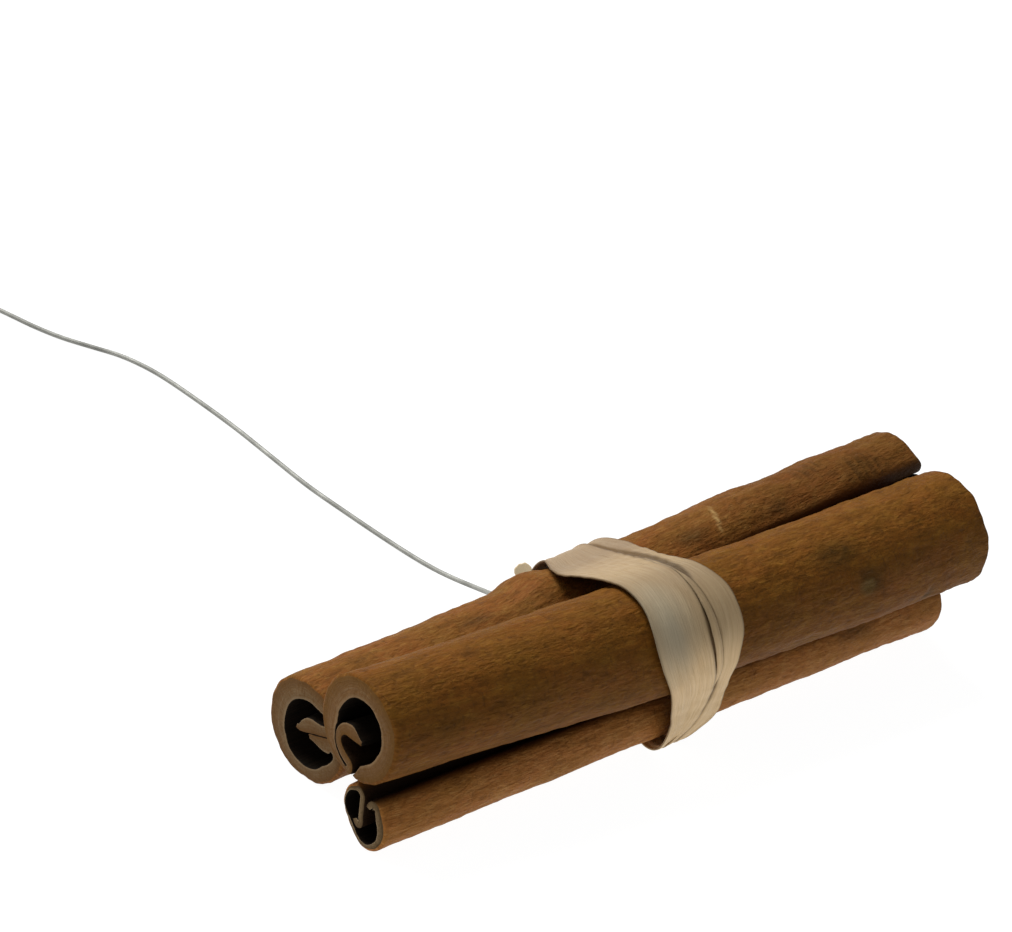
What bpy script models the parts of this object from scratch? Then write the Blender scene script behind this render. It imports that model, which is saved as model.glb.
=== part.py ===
# Bundle of cinnamon quills tied with raffia, on a thin stem wire.
#
# Three sheets of dried bark, each rolled inward from both long edges, lie against
# each other: two thick quills and a thin one below them. A flat raffia tie goes
# round the middle and is knotted behind, and a florist's wire leaves the knot and
# lies along the surface that the bundle rests on.
#
# Lengths in the driving dimensions are millimetres; the model is built in metres.
# X runs along the quills, -Y is the front, +Z is up, and z = 0 is the resting surface.

import math

import bpy
import bmesh
import numpy as np
from mathutils import Vector

MM = 0.001
COLLECTION_NAME = "cinnamon_bundle"

# Driving dimensions: where the origin lies in the layout below.
ORIGIN_X = 1.28
ORIGIN_Y = 5.24

# Each quill is an axis from its near end to its far end, bent by a bow at its middle,
# and an outer radius at the near end, the middle and the far end.
# A half of the roll is walked from the back of the sheet to its edge: the distance that
# it stops before the seam, then the moves that curl it in.
QUILLS = {
    "stick_front": {
        "near": (-39.98, 0.0, 12.02),
        "far": (39.40, 0.0, 13.62),
        "bow": (-1.2, 0.3),
        "radii": (5.20, 5.70, 5.95),
        "far_slant": (0.02, -0.12),
        "wall": 1.95,
        "lip": 0.85,
        "seam_deg": -98.0,
        "twist_deg": 14.0,
        "left": {"curl_radius": 0.30, "clear": -0.46, "thin_from_deg": 14.0,
                 "moves": (("curl", 30.0),)},
        "right": {"curl_radius": 1.08, "clear": 0.12, "thin_from_deg": 76.0,
                  "moves": (("curl", 168.0), ("arc", 3.35, -26.0), ("arc", 0.7, -134.0), ("line", 2.0))},
    },
    "stick_back": {
        "near": (-36.85, 9.59, 5.09),
        "far": (42.85, 10.96, 12.79),
        "bow": (-0.5, 0.6),
        "radii": (5.35, 5.05, 4.85),
        "far_slant": (0.0, 0.0),
        "wall": 1.75,
        "lip": 0.95,
        "seam_deg": 159.0,
        "twist_deg": -12.0,
        "left": {"curl_radius": 1.5, "clear": 0.12, "thin_from_deg": 35.0,
                 "moves": (("inward",), ("line", 3.7), ("arc", 1.15, 60.0))},
        "right": {"curl_radius": 1.7, "clear": 0.12, "thin_from_deg": 35.0,
                  "moves": (("inward",), ("line", 3.0))},
    },
    "stick_lower": {
        "near": (-39.14, -1.94, 3.18),
        "far": (40.25, 2.63, 3.67),
        "bow": (-0.6, 0.45),
        "radii": (3.33, 3.33, 3.82),
        "far_slant": (0.0, 0.0),
        "wall": 0.85,
        "lip": 0.62,
        "seam_deg": 92.0,
        "twist_deg": 20.0,
        "left": {"curl_radius": 1.1, "clear": 0.05, "thin_from_deg": 30.0,
                 "moves": (("curl", 112.0), ("line", 2.5), ("arc", 0.95, 165.0))},
        "right": {"curl_radius": 1.1, "clear": 0.32, "thin_from_deg": 30.0,
                  "moves": (("curl", 118.0), ("line", 0.25))},
    },
}

# Swellings of the bark: quill, place along X, direction round the quill, height,
# half length along the quill, and half angle round it.
SWELLINGS = (
    ("stick_back", -17.0, 60.0, -0.20, 13.0, 80.0),
    ("stick_back", -8.2, 65.0, 0.75, 3.9, 80.0),
    ("stick_back", 18.0, 85.0, 0.55, 11.0, 80.0),
    ("stick_back", 32.0, 85.0, 0.45, 8.0, 80.0),
    ("stick_front", -6.0, 215.0, 0.40, 13.0, 45.0),
    ("stick_front", 24.0, 190.0, 0.25, 8.0, 60.0),
)

# The thin quill is pressed in at its near end: direction round it, half angle, and share
# of the radius lost.
PRESSED_QUILL = "stick_lower"
PRESSED_LENGTH = 10.0
PRESSES = (
    (-40.0, 88.0, 0.35),
    (150.0, 75.0, 0.17),
)

# Steps of the bark sheet: rows along it, and the longest step and turn round the roll.
QUILL_ROWS = 10
STEP_LENGTH = 1.15
STEP_DEG = 26.0
CUTTER_SIZE = 200.0

# The tie is a flat ring over all three quills, seen from a centre inside the bundle.
# Its stations are: direction round the bundle, left edge and right edge along X, and
# how far it stands off.
TIE_CENTRE_YZ = (3.3, 8.9)
TIE_STATIONS = (
    (-47.0, -3.0, 1.8, 0.0),
    (0.0, -4.0, 1.8, 0.2),
    (24.0, -5.0, 2.5, 0.4),
    (40.0, -7.2, 2.9, 0.2),
    (57.0, -8.0, 2.3, 0.0),
    (90.0, -8.3, 1.4, 0.0),
    (112.0, -8.5, 1.4, 0.0),
    (128.0, -8.9, 2.0, 0.0),
    (146.0, -9.0, 2.3, 0.0),
    (162.0, -7.6, 2.1, 0.0),
    (188.0, -4.6, 3.0, 0.1),
    (212.0, -3.0, 3.6, 0.6),
    (230.0, -2.3, 1.4, 0.6),
    (250.0, -1.9, 1.7, 0.0),
)
TIE_GAP = 0.30
TIE_THICKNESS = 0.48
TIE_GAP_BELOW = 0.20
TIE_THICKNESS_BELOW = 0.22
TIE_BELOW_DEG = 250.0
TIE_BELOW_HALF_DEG = 26.0
TIE_LOOP_STEPS = 72
TIE_WIDTH_STEPS = 4
TIE_SEAM_MERGE = 0.01
WRAP_SEARCH_DEG = 80.0
WRAP_STEP_DEG = 2.0

# The knot and the two cut ends of the raffia, behind the back quill.
KNOT_CENTRE = (-3.2, 16.3, 8.5)
KNOT_RADII = (2.3, 1.25, 1.6)
TAILS = (
    ((-3.6, 16.3, 8.7), (-4.9, 16.2, 10.9), 0.75, 1.0),
    ((-2.8, 16.6, 7.8), (-1.4, 17.0, 3.8), 0.9, 1.25),
)
TAIL_FLATNESS = 0.45
KNOT_SEGMENTS = 14
KNOT_RINGS = 9
TAIL_SEGMENTS = 10

# The stem wire, from the knot down to the resting surface and away behind the bundle.
WIRE_DIAMETER = 0.5
WIRE_ROUTE = (
    (-4.3, 17.7, 6.8), (-3.5, 19.1, 5.7), (-2.0, 21.4, 4.1), (-0.75, 24.0, 2.75),
    (-0.3, 26.7, 1.85), (-0.13, 29.4, 1.15), (-0.08, 32.3, 0.62), (-0.18, 35.9, 0.31),
    (-0.5, 40.2, 0.27), (-0.82, 45.6, 0.27), (-1.04, 51.3, 0.27), (-0.78, 57.7, 0.27),
    (-0.5, 64.1, 0.27), (-0.56, 70.2, 0.27), (-0.85, 75.9, 0.27), (-1.4, 79.2, 0.27),
    (-2.4, 82.1, 0.27), (-4.1, 84.9, 0.27), (-5.8, 87.7, 0.27), (-7.1, 90.8, 0.27),
    (-8.1, 94.2, 0.27), (-9.3, 98.4, 0.27), (-10.6, 102.7, 0.27), (-11.6, 106.8, 0.27),
)
WIRE_POINTS = 76
WIRE_FINE_STEPS = 40

# Colour, roughness and metallic value of each material.
BARK = ("cinnamon_bark", (0.27, 0.125, 0.045), 0.75, 0.0)
RAFFIA = ("raffia", (0.66, 0.55, 0.36), 0.6, 0.0)
STEEL = ("stem_wire_steel", (0.36, 0.36, 0.37), 0.4, 1.0)


def clear_scene():
    for item in list(bpy.data.objects):
        bpy.data.objects.remove(item, do_unlink=True)


def new_collection(name):
    collection = bpy.data.collections.new(name)
    bpy.context.scene.collection.children.link(collection)
    return collection


def make_material(name, colour, roughness, metallic):
    material = bpy.data.materials.new(name)
    material.use_nodes = True
    shader = material.node_tree.nodes["Principled BSDF"]
    shader.inputs["Base Color"].default_value = (*colour, 1.0)
    shader.inputs["Roughness"].default_value = roughness
    shader.inputs["Metallic"].default_value = metallic
    return material


def place(x, y, z):
    """Layout millimetres to world metres."""
    return Vector(((x - ORIGIN_X) * MM, (y - ORIGIN_Y) * MM, z * MM))


def add_object(name, bm, material, collection):
    mesh = bpy.data.meshes.new(name)
    bm.to_mesh(mesh)
    bm.free()
    mesh.materials.append(material)
    item = bpy.data.objects.new(name, mesh)
    collection.objects.link(item)
    return item


def helper_object(name, bm, collection):
    """A shape that only a modifier uses."""
    mesh = bpy.data.meshes.new(name)
    bm.to_mesh(mesh)
    bm.free()
    item = bpy.data.objects.new(name, mesh)
    item.hide_render = True
    item.display_type = "WIRE"
    collection.objects.link(item)
    return item


def walk(point, heading_deg, moves):
    """Points reached by lines and left-turning arcs, starting after the given point."""
    points = []
    x, y = point
    heading = math.radians(heading_deg)
    for kind, size, turn_deg in moves:
        length = size if kind == "line" else size * math.radians(abs(turn_deg))
        steps = max(1, math.ceil(length / STEP_LENGTH), math.ceil(abs(turn_deg) / STEP_DEG))
        turn = math.radians(turn_deg) / steps
        chord = length / steps
        if turn:
            chord = 2.0 * size * abs(math.sin(turn / 2.0))
        for _ in range(steps):
            heading += turn / 2.0
            x += chord * math.cos(heading)
            y += chord * math.sin(heading)
            heading += turn / 2.0
            points.append((x, y))
    return points


def half_roll(radius, half):
    """Outer surface of half a sheet, from its back to its edge; the seam is at +X."""
    curl = half["curl_radius"]
    before_seam = math.degrees(math.asin((curl + half["clear"]) / (radius - curl)))
    moves = [("arc", radius, 180.0 - before_seam)]
    for move in half["moves"]:
        if move[0] == "inward":
            moves.append(("arc", curl, 90.0 + before_seam))
        elif move[0] == "curl":
            moves.append(("arc", curl, move[1]))
        elif move[0] == "line":
            moves.append(("line", move[1], 0.0))
        else:
            moves.append(move)
    ring_points = walk((-radius, 0.0), -90.0, moves[:1])
    return walk((-radius, 0.0), -90.0, moves), len(ring_points)


def wall_weights(ring_count, total, thin_from_deg):
    """1 where the wall is thick, falling to 0 along the last part of the half ring."""
    thin_steps = max(1.0, ring_count * thin_from_deg / 180.0)
    return [min(1.0, max(0.0, (ring_count - index) / thin_steps)) for index in range(1, total + 1)]


def roll_section(quill):
    """Outer surface of the rolled sheet from edge to edge, with a wall weight per point."""
    radius = quill["radii"][0]
    left, left_ring = half_roll(radius, quill["left"])
    right, right_ring = half_roll(radius, quill["right"])
    left_weights = wall_weights(left_ring, len(left), quill["left"]["thin_from_deg"])
    right_weights = wall_weights(right_ring, len(right), quill["right"]["thin_from_deg"])
    mirrored = [(x, -y) for x, y in reversed(right)]
    points = mirrored + [(-radius, 0.0)] + left
    weights = list(reversed(right_weights)) + [1.0] + left_weights
    return np.array(points), weights


def through_three(values, t):
    """Parabola through values at 0, 0.5 and 1."""
    first, middle, last = values
    return first + (4 * middle - 3 * first - last) * t + (2 * first + 2 * last - 4 * middle) * t * t


def bump(distance, half_width):
    """Smooth hump, 1 at the middle and 0 from half_width on."""
    share = min(1.0, abs(distance) / half_width)
    return (math.cos(math.pi * share) + 1.0) / 2.0


def turn_between(first_deg, second_deg):
    return (first_deg - second_deg + 180.0) % 360.0 - 180.0


def quill_axis(quill, t):
    near = np.array(quill["near"])
    far = np.array(quill["far"])
    bow = np.array((0.0, *quill["bow"]))
    return near + (far - near) * t + bow * (4.0 * t * (1.0 - t))


def quill_radius(name, quill, t, angle_deg):
    """Outer radius of a quill at t along it, in a direction round it."""
    radius = through_three(quill["radii"], t)
    x = quill_axis(quill, t)[0]
    for owner, at_x, at_deg, height, half_length, half_deg in SWELLINGS:
        if owner == name:
            spread = bump(x - at_x, half_length) * bump(turn_between(angle_deg, at_deg), half_deg)
            radius += height * spread
    if name == PRESSED_QUILL:
        from_end = x - quill["near"][0]
        for at_deg, half_deg, depth in PRESSES:
            pressed = bump(from_end, PRESSED_LENGTH) * bump(turn_between(angle_deg, at_deg), half_deg)
            radius *= 1.0 - depth * pressed
    return radius


def quill_point(name, quill, section_point, t):
    """A point of the rolled section carried to its place at t along the quill."""
    seam = math.radians(quill["seam_deg"] + quill["twist_deg"] * t)
    x, y = section_point
    across = x * math.cos(seam) - y * math.sin(seam)
    upward = x * math.sin(seam) + y * math.cos(seam)
    angle_deg = math.degrees(math.atan2(upward, across))
    scale = quill_radius(name, quill, t, angle_deg) / quill["radii"][0]
    direction = np.array(quill["far"]) - np.array(quill["near"])
    direction /= np.linalg.norm(direction)
    across_axis = np.array((0.0, 1.0, 0.0)) - direction * direction[1]
    across_axis /= np.linalg.norm(across_axis)
    up_axis = np.cross(direction, across_axis)
    point = quill_axis(quill, t) + scale * (across * across_axis + upward * up_axis)
    slant_across, slant_upward = quill["far_slant"]
    point = point + direction * t * (slant_across * across + slant_upward * upward)
    return place(*point)


def make_quill(name, quill, material, collection):
    """A flat sheet of bark mapped on to the roll, then given its thickness inward."""
    section, weights = roll_section(quill)
    columns = len(section) - 1
    bm = bmesh.new()
    bmesh.ops.create_grid(bm, x_segments=columns, y_segments=QUILL_ROWS, size=0.5)
    group_weights = {}
    for vertex in bm.verts:
        column = round((vertex.co.x + 0.5) * columns)
        t = vertex.co.y + 0.5
        vertex.co = quill_point(name, quill, section[column], t)
        group_weights[vertex.index] = weights[column]
    bm.verts.index_update()
    indexed = [group_weights[vertex.index] for vertex in bm.verts]
    item = add_object(name, bm, material, collection)
    group = item.vertex_groups.new(name="wall")
    for index, weight in enumerate(indexed):
        group.add([index], weight, "REPLACE")
    solidify = item.modifiers.new("bark_thickness", "SOLIDIFY")
    solidify.thickness = quill["wall"] * MM
    solidify.offset = -1.0
    solidify.use_even_offset = True
    solidify.vertex_group = "wall"
    solidify.thickness_vertex_group = quill["lip"] / quill["wall"]
    item.data.shade_smooth()
    return item


def make_resting_cutter(collection):
    """A block whose top is the resting surface, to shave the undersides flat."""
    size = CUTTER_SIZE * MM
    bm = bmesh.new()
    bmesh.ops.create_cube(bm, size=size)
    bmesh.ops.translate(bm, verts=bm.verts, vec=(0.0, 0.0, -size / 2.0))
    return helper_object("resting_cutter", bm, collection)


def shave_flat(item, cutter):
    shave = item.modifiers.new("resting_flat", "BOOLEAN")
    shave.operation = "DIFFERENCE"
    shave.object = cutter


def tie_edges(angle_deg):
    """Edges and stand-off of the tie, by periodic smooth steps between its stations."""
    stations = list(TIE_STATIONS) + [(TIE_STATIONS[0][0] + 360.0, *TIE_STATIONS[0][1:])]
    angle = (angle_deg - stations[0][0]) % 360.0 + stations[0][0]
    count = len(TIE_STATIONS)
    for index in range(count):
        start, end = stations[index], stations[index + 1]
        if start[0] <= angle <= end[0]:
            before = TIE_STATIONS[(index - 1) % count]
            after = TIE_STATIONS[(index + 2) % count]
            share = (angle - start[0]) / (end[0] - start[0])
            return [cubic(before[side], start[side], end[side], after[side], share) for side in (1, 2, 3)]
    return stations[0][1:]


def cubic(before, start, end, after, share):
    """Catmull-Rom curve from start to end."""
    slope_in = (end - before) / 2.0
    slope_out = (after - start) / 2.0
    square = share * share
    cube = square * share
    return (start * (2 * cube - 3 * square + 1) + slope_in * (cube - 2 * square + share)
            + end * (3 * square - 2 * cube) + slope_out * (cube - square))


def wrap_distance(x, angle_deg, gap):
    """How far from the tie's centre a taut wrap over the quills lies, in one direction."""
    best = math.inf
    for normal_deg in np.arange(angle_deg - WRAP_SEARCH_DEG, angle_deg + WRAP_SEARCH_DEG, WRAP_STEP_DEG):
        normal = math.radians(normal_deg)
        reach = 0.0
        for name, quill in QUILLS.items():
            near_x, far_x = quill["near"][0], quill["far"][0]
            t = (x - near_x) / (far_x - near_x)
            centre = quill_axis(quill, t)
            radius = quill_radius(name, quill, t, normal_deg) + gap
            across = centre[1] - TIE_CENTRE_YZ[0]
            upward = centre[2] - TIE_CENTRE_YZ[1]
            reach = max(reach, across * math.cos(normal) + upward * math.sin(normal) + radius)
        best = min(best, reach / math.cos(normal - math.radians(angle_deg)))
    return best


def tie_point(x, angle_deg, gap):
    distance = wrap_distance(x, angle_deg, gap)
    angle = math.radians(angle_deg)
    y = TIE_CENTRE_YZ[0] + distance * math.cos(angle)
    z = TIE_CENTRE_YZ[1] + distance * math.sin(angle)
    return place(x, y, z)


def make_tie_ring(material, collection):
    """An open band mapped round the bundle and closed on itself, then thickened outward."""
    bm = bmesh.new()
    bmesh.ops.create_grid(bm, x_segments=TIE_LOOP_STEPS, y_segments=TIE_WIDTH_STEPS, size=0.5)
    below = bm.verts.layers.float.new("below")
    for vertex in bm.verts:
        angle_deg = (vertex.co.x + 0.5) * 360.0
        share = vertex.co.y + 0.5
        left, right, stand_off = tie_edges(angle_deg)
        under = bump(turn_between(angle_deg, TIE_BELOW_DEG), TIE_BELOW_HALF_DEG)
        gap = TIE_GAP + (TIE_GAP_BELOW - TIE_GAP) * under + max(0.0, stand_off)
        vertex.co = tie_point(left + (right - left) * share, angle_deg, gap)
        vertex[below] = under
    bmesh.ops.remove_doubles(bm, verts=bm.verts, dist=TIE_SEAM_MERGE * MM)
    bmesh.ops.recalc_face_normals(bm, faces=bm.faces)
    weights = [1.0 - vertex[below] for vertex in bm.verts]
    item = add_object("raffia_tie", bm, material, collection)
    group = item.vertex_groups.new(name="strip")
    for index, weight in enumerate(weights):
        group.add([index], weight, "REPLACE")
    solidify = item.modifiers.new("raffia_thickness", "SOLIDIFY")
    solidify.thickness = TIE_THICKNESS * MM
    solidify.offset = 1.0
    solidify.use_even_offset = True
    solidify.vertex_group = "strip"
    solidify.thickness_vertex_group = TIE_THICKNESS_BELOW / TIE_THICKNESS
    item.data.shade_smooth()
    return item


def make_knot(collection):
    bm = bmesh.new()
    bmesh.ops.create_uvsphere(bm, u_segments=KNOT_SEGMENTS, v_segments=KNOT_RINGS, radius=1.0)
    bmesh.ops.scale(bm, verts=bm.verts, vec=[radius * MM for radius in KNOT_RADII])
    bmesh.ops.translate(bm, verts=bm.verts, vec=place(*KNOT_CENTRE))
    return helper_object("knot_form", bm, collection)


def make_tail(index, start, end, start_radius, end_radius, collection):
    """A cut end of raffia: a flattened cone that widens toward its cut."""
    base = place(*start)
    tip = place(*end)
    along = tip - base
    bm = bmesh.new()
    bmesh.ops.create_cone(bm, cap_ends=True, segments=TAIL_SEGMENTS, radius1=start_radius * MM,
                          radius2=end_radius * MM, depth=along.length)
    bmesh.ops.scale(bm, verts=bm.verts, vec=(1.0, TAIL_FLATNESS, 1.0))
    turn = along.to_track_quat("Z", "Y")
    bmesh.ops.rotate(bm, verts=bm.verts, cent=(0.0, 0.0, 0.0), matrix=turn.to_matrix())
    bmesh.ops.translate(bm, verts=bm.verts, vec=(base + tip) / 2.0)
    return helper_object(f"tail_form_{index}", bm, collection)


def make_tie(material, collection, helpers):
    """The ring with its knot and cut ends joined on as one closed body."""
    ring = make_tie_ring(material, collection)
    forms = [make_knot(helpers)]
    for index, tail in enumerate(TAILS):
        forms.append(make_tail(index, *tail, helpers))
    for form in forms:
        join = ring.modifiers.new(form.name, "BOOLEAN")
        join.operation = "UNION"
        join.object = form
    return ring


def wire_curve_points():
    """Evenly spaced points on a smooth curve through the wire's route."""
    route = [np.array(point) for point in WIRE_ROUTE]
    padded = [2 * route[0] - route[1]] + route + [2 * route[-1] - route[-2]]
    fine = []
    for index in range(len(route) - 1):
        for step in range(WIRE_FINE_STEPS):
            fine.append(cubic(*padded[index:index + 4], step / WIRE_FINE_STEPS))
    fine.append(route[-1])
    fine = np.array(fine)
    travelled = np.concatenate(([0.0], np.cumsum(np.linalg.norm(np.diff(fine, axis=0), axis=1))))
    stops = np.linspace(0.0, travelled[-1], WIRE_POINTS)
    return [[np.interp(stop, travelled, fine[:, axis]) for axis in range(3)] for stop in stops]


def make_wire(material, collection):
    curve = bpy.data.curves.new("stem_wire", "CURVE")
    curve.dimensions = "3D"
    curve.bevel_depth = WIRE_DIAMETER * MM / 2.0
    curve.bevel_resolution = 2
    curve.use_fill_caps = True
    points = wire_curve_points()
    spline = curve.splines.new("POLY")
    spline.points.add(len(points) - 1)
    for spline_point, point in zip(spline.points, points):
        spline_point.co = (*place(*point), 1.0)
    curve.materials.append(material)
    item = bpy.data.objects.new("stem_wire", curve)
    collection.objects.link(item)
    return item


def main():
    clear_scene()
    parts = new_collection(COLLECTION_NAME)
    helpers = new_collection("construction_helpers")
    bark = make_material(*BARK)
    raffia = make_material(*RAFFIA)
    steel = make_material(*STEEL)
    cutter = make_resting_cutter(helpers)
    for name, quill in QUILLS.items():
        item = make_quill(name, quill, bark, parts)
        if name != "stick_front":
            shave_flat(item, cutter)
    make_tie(raffia, parts, helpers)
    make_wire(steel, parts)


main()
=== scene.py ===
# %% [markdown]
# # A tied bundle of cinnamon quills
# Three rolls of dried bark are held by a wrap of raffia, and a thin stem wire runs
# away from the knot behind them. This lesson dresses the plain solids of the bundle:
# each visible part is modelled again in fine detail, in the same place.
# The first cell loads the solids, which are never moved or changed. The size of the
# finished model is printed at the end.

# %% Load the imported solids
import math

import bmesh
import bpy
import numpy as np
from mathutils import Matrix, Vector, noise


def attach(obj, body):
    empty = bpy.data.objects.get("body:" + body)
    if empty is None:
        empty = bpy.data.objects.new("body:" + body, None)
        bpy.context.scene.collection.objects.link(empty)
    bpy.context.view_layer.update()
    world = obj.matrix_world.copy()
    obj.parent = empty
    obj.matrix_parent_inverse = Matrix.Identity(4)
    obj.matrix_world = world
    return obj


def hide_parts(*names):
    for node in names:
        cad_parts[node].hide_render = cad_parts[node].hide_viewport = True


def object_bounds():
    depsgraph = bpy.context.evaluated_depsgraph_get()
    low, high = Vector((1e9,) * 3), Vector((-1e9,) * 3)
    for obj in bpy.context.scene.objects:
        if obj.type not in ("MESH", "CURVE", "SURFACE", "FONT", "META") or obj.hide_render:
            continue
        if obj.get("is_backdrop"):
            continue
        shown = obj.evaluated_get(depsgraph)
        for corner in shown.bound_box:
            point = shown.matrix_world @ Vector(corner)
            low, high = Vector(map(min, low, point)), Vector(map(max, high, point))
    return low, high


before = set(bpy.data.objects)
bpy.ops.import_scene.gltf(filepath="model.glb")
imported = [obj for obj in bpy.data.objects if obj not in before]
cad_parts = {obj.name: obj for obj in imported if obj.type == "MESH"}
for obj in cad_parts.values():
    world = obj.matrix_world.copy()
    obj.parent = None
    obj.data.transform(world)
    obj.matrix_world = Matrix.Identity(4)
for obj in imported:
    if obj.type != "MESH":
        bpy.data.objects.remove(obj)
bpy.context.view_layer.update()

print("solids:", sorted(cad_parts))

# %% [markdown]
# ## One layout for everything
# The bundle was laid out in millimetres from the near end of the front quill, and
# then moved so that the origin lies under its middle. Every place below is given in
# that layout, and `place` turns it into metres. `cubic` draws a smooth curve through
# given points, which serves the wire and the edges of the raffia alike. The last two
# helpers put what was built into the scene.

# %% Layout helpers
MM = 0.001
ORIGIN_X = 1.28
ORIGIN_Y = 5.24


def place(x, y, z):
    """Layout millimetres to world metres."""
    return Vector(((x - ORIGIN_X) * MM, (y - ORIGIN_Y) * MM, z * MM))


def cubic(before, start, end, after, share):
    """Catmull-Rom curve from start to end."""
    slope_in = (end - before) / 2.0
    slope_out = (after - start) / 2.0
    square = share * share
    cube = square * share
    return (start * (2 * cube - 3 * square + 1) + slope_in * (cube - 2 * square + share)
            + end * (3 * square - 2 * cube) + slope_out * (cube - square))


def bump(distance, half_width):
    """Smooth hump, 1 at the middle and 0 from half_width on."""
    share = min(1.0, abs(distance) / half_width)
    return (math.cos(math.pi * share) + 1.0) / 2.0


def turn_between(first_deg, second_deg):
    return (first_deg - second_deg + 180.0) % 360.0 - 180.0


def bump_round(angle_deg, at_deg, half_deg):
    """Smooth hump round a quill or round the bundle."""
    return bump(turn_between(angle_deg, at_deg), half_deg)


def new_object(name, data):
    """An object in the scene, at the origin."""
    item = bpy.data.objects.new(name, data)
    bpy.context.scene.collection.objects.link(item)
    return item


def mesh_object(name, bm):
    """The mesh that was built, as an object in the scene."""
    mesh = bpy.data.meshes.new(name)
    bm.to_mesh(mesh)
    bm.free()
    return new_object(name, mesh)


# %% [markdown]
# ## The camera
# A long lens from a little above looks past the near ends of the quills. The camera's
# turn is given by its right and up directions, which is easier to read than three
# angles: the third direction is their cross product.

# %% Camera
CAMERA_PLACE = Vector((-0.2888671, -0.2459801, 0.2293215))
CAMERA_RIGHT = Vector((0.7355168, -0.6542754, 0.1758941))
CAMERA_UP = Vector((0.2073912, 0.4645857, 0.8609001))
LENS_MM = 160.08

camera_data = bpy.data.cameras.new("studio_camera")
camera_data.lens = LENS_MM
camera_data.sensor_width = 36.0
camera_data.sensor_fit = "HORIZONTAL"
camera_data.clip_start = 0.01
camera_data.clip_end = 20.0
camera = new_object("studio_camera", camera_data)
turned = Matrix((CAMERA_RIGHT, CAMERA_UP, CAMERA_RIGHT.cross(CAMERA_UP))).transposed()
camera.matrix_world = Matrix.Translation(CAMERA_PLACE) @ turned.to_4x4()
bpy.context.scene.camera = camera
print("camera distance, mm:", round(CAMERA_PLACE.length / MM))

# %% [markdown]
# ## Node helpers
# A material is a small graph. A few helpers keep its cells short: they add a node with
# its settings, join an output to an input, mix colours and work on numbers.

# %% Node helpers
def add_node(tree, kind, inputs=(), **settings):
    """A node with its settings, and with plain values on its named or numbered inputs."""
    node = tree.nodes.new(kind)
    for name, value in settings.items():
        setattr(node, name, value)
    for key, value in dict(inputs).items():
        node.inputs[key].default_value = value
    return node


def join(tree, source, target):
    tree.links.new(source, target)


def new_material(name, roughness, metallic=0.0, gloss=0.5):
    """A material with its shader's plain values set, and its node tree."""
    material = bpy.data.materials.new(name)
    material.use_nodes = True
    shader = material.node_tree.nodes["Principled BSDF"]
    shader.inputs["Roughness"].default_value = roughness
    shader.inputs["Metallic"].default_value = metallic
    shader.inputs["Specular IOR Level"].default_value = gloss
    return material, material.node_tree, shader


def feed(tree, socket, value):
    """Joins a socket to an input, or sets the input to a number or a colour."""
    if isinstance(value, bpy.types.NodeSocket):
        join(tree, value, socket)
    elif isinstance(value, float):
        socket.default_value = value
    else:
        socket.default_value = (*value, 1.0)


def mix_colour(tree, share, first, second):
    """Colour between two colours. Each of the three may be a value or a socket."""
    node = add_node(tree, "ShaderNodeMix", data_type="RGBA")
    for index, value in ((0, share), (6, first), (7, second)):
        feed(tree, node.inputs[index], value)
    return node.outputs[2]


def stretch(tree, source, low, high, low_value=0.0, high_value=1.0):
    """Value carried from one range to another, clamped at both ends."""
    node = add_node(tree, "ShaderNodeMapRange",
                    {"From Min": low, "From Max": high, "To Min": low_value, "To Max": high_value})
    join(tree, source, node.inputs["Value"])
    return node.outputs["Result"]


def calculate(tree, operation, first, second):
    """Maths on two numbers, each a value or a socket."""
    node = add_node(tree, "ShaderNodeMath", operation=operation)
    feed(tree, node.inputs[0], first)
    feed(tree, node.inputs[1], second)
    return node.outputs[0]


def tint(tree, colour, source, low, high, share, other):
    """The colour, mixed with another by up to share as the source goes from low to high."""
    return mix_colour(tree, stretch(tree, source, low, high, 0.0, share), colour, other)


def read_value(tree, name, output="Fac"):
    """A number, or with output "Vector" a vector, that was left on the vertices."""
    return add_node(tree, "ShaderNodeAttribute", attribute_name=name).outputs[output]


def split_vector(tree, vector):
    """The X, Y and Z of a vector."""
    node = add_node(tree, "ShaderNodeSeparateXYZ")
    join(tree, vector, node.inputs[0])
    return node.outputs


# %% [markdown]
# ## The stem wire
# Florists fix such a bundle on a thin annealed wire. It leaves the knot, drops to the
# table and lies there in a long lazy bend. A curve is the natural way to model it: the
# route is a few points, and the bevel gives it its thickness. The points are spaced
# evenly along the smooth route, so that no stretch is coarser than another. The curve
# is then turned into a mesh, because a curve's box counts its points' radius as well.

# %% Stem wire
WIRE_DIAMETER = 0.5
WIRE_ROUTE = (
    (-4.3, 17.7, 6.8), (-3.5, 19.1, 5.7), (-2.0, 21.4, 4.1), (-0.75, 24.0, 2.75),
    (-0.3, 26.7, 1.85), (-0.13, 29.4, 1.15), (-0.08, 32.3, 0.62), (-0.18, 35.9, 0.31),
    (-0.5, 40.2, 0.27), (-0.82, 45.6, 0.27), (-1.04, 51.3, 0.27), (-0.78, 57.7, 0.27),
    (-0.5, 64.1, 0.27), (-0.56, 70.2, 0.27), (-0.85, 75.9, 0.27), (-1.4, 79.2, 0.27),
    (-2.4, 82.1, 0.27), (-4.1, 84.9, 0.27), (-5.8, 87.7, 0.27), (-7.1, 90.8, 0.27),
    (-8.1, 94.2, 0.27), (-9.3, 98.4, 0.27), (-10.6, 102.7, 0.27), (-11.6, 106.8, 0.27),
)
WIRE_POINTS = 150
WIRE_FINE_STEPS = 40


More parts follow.
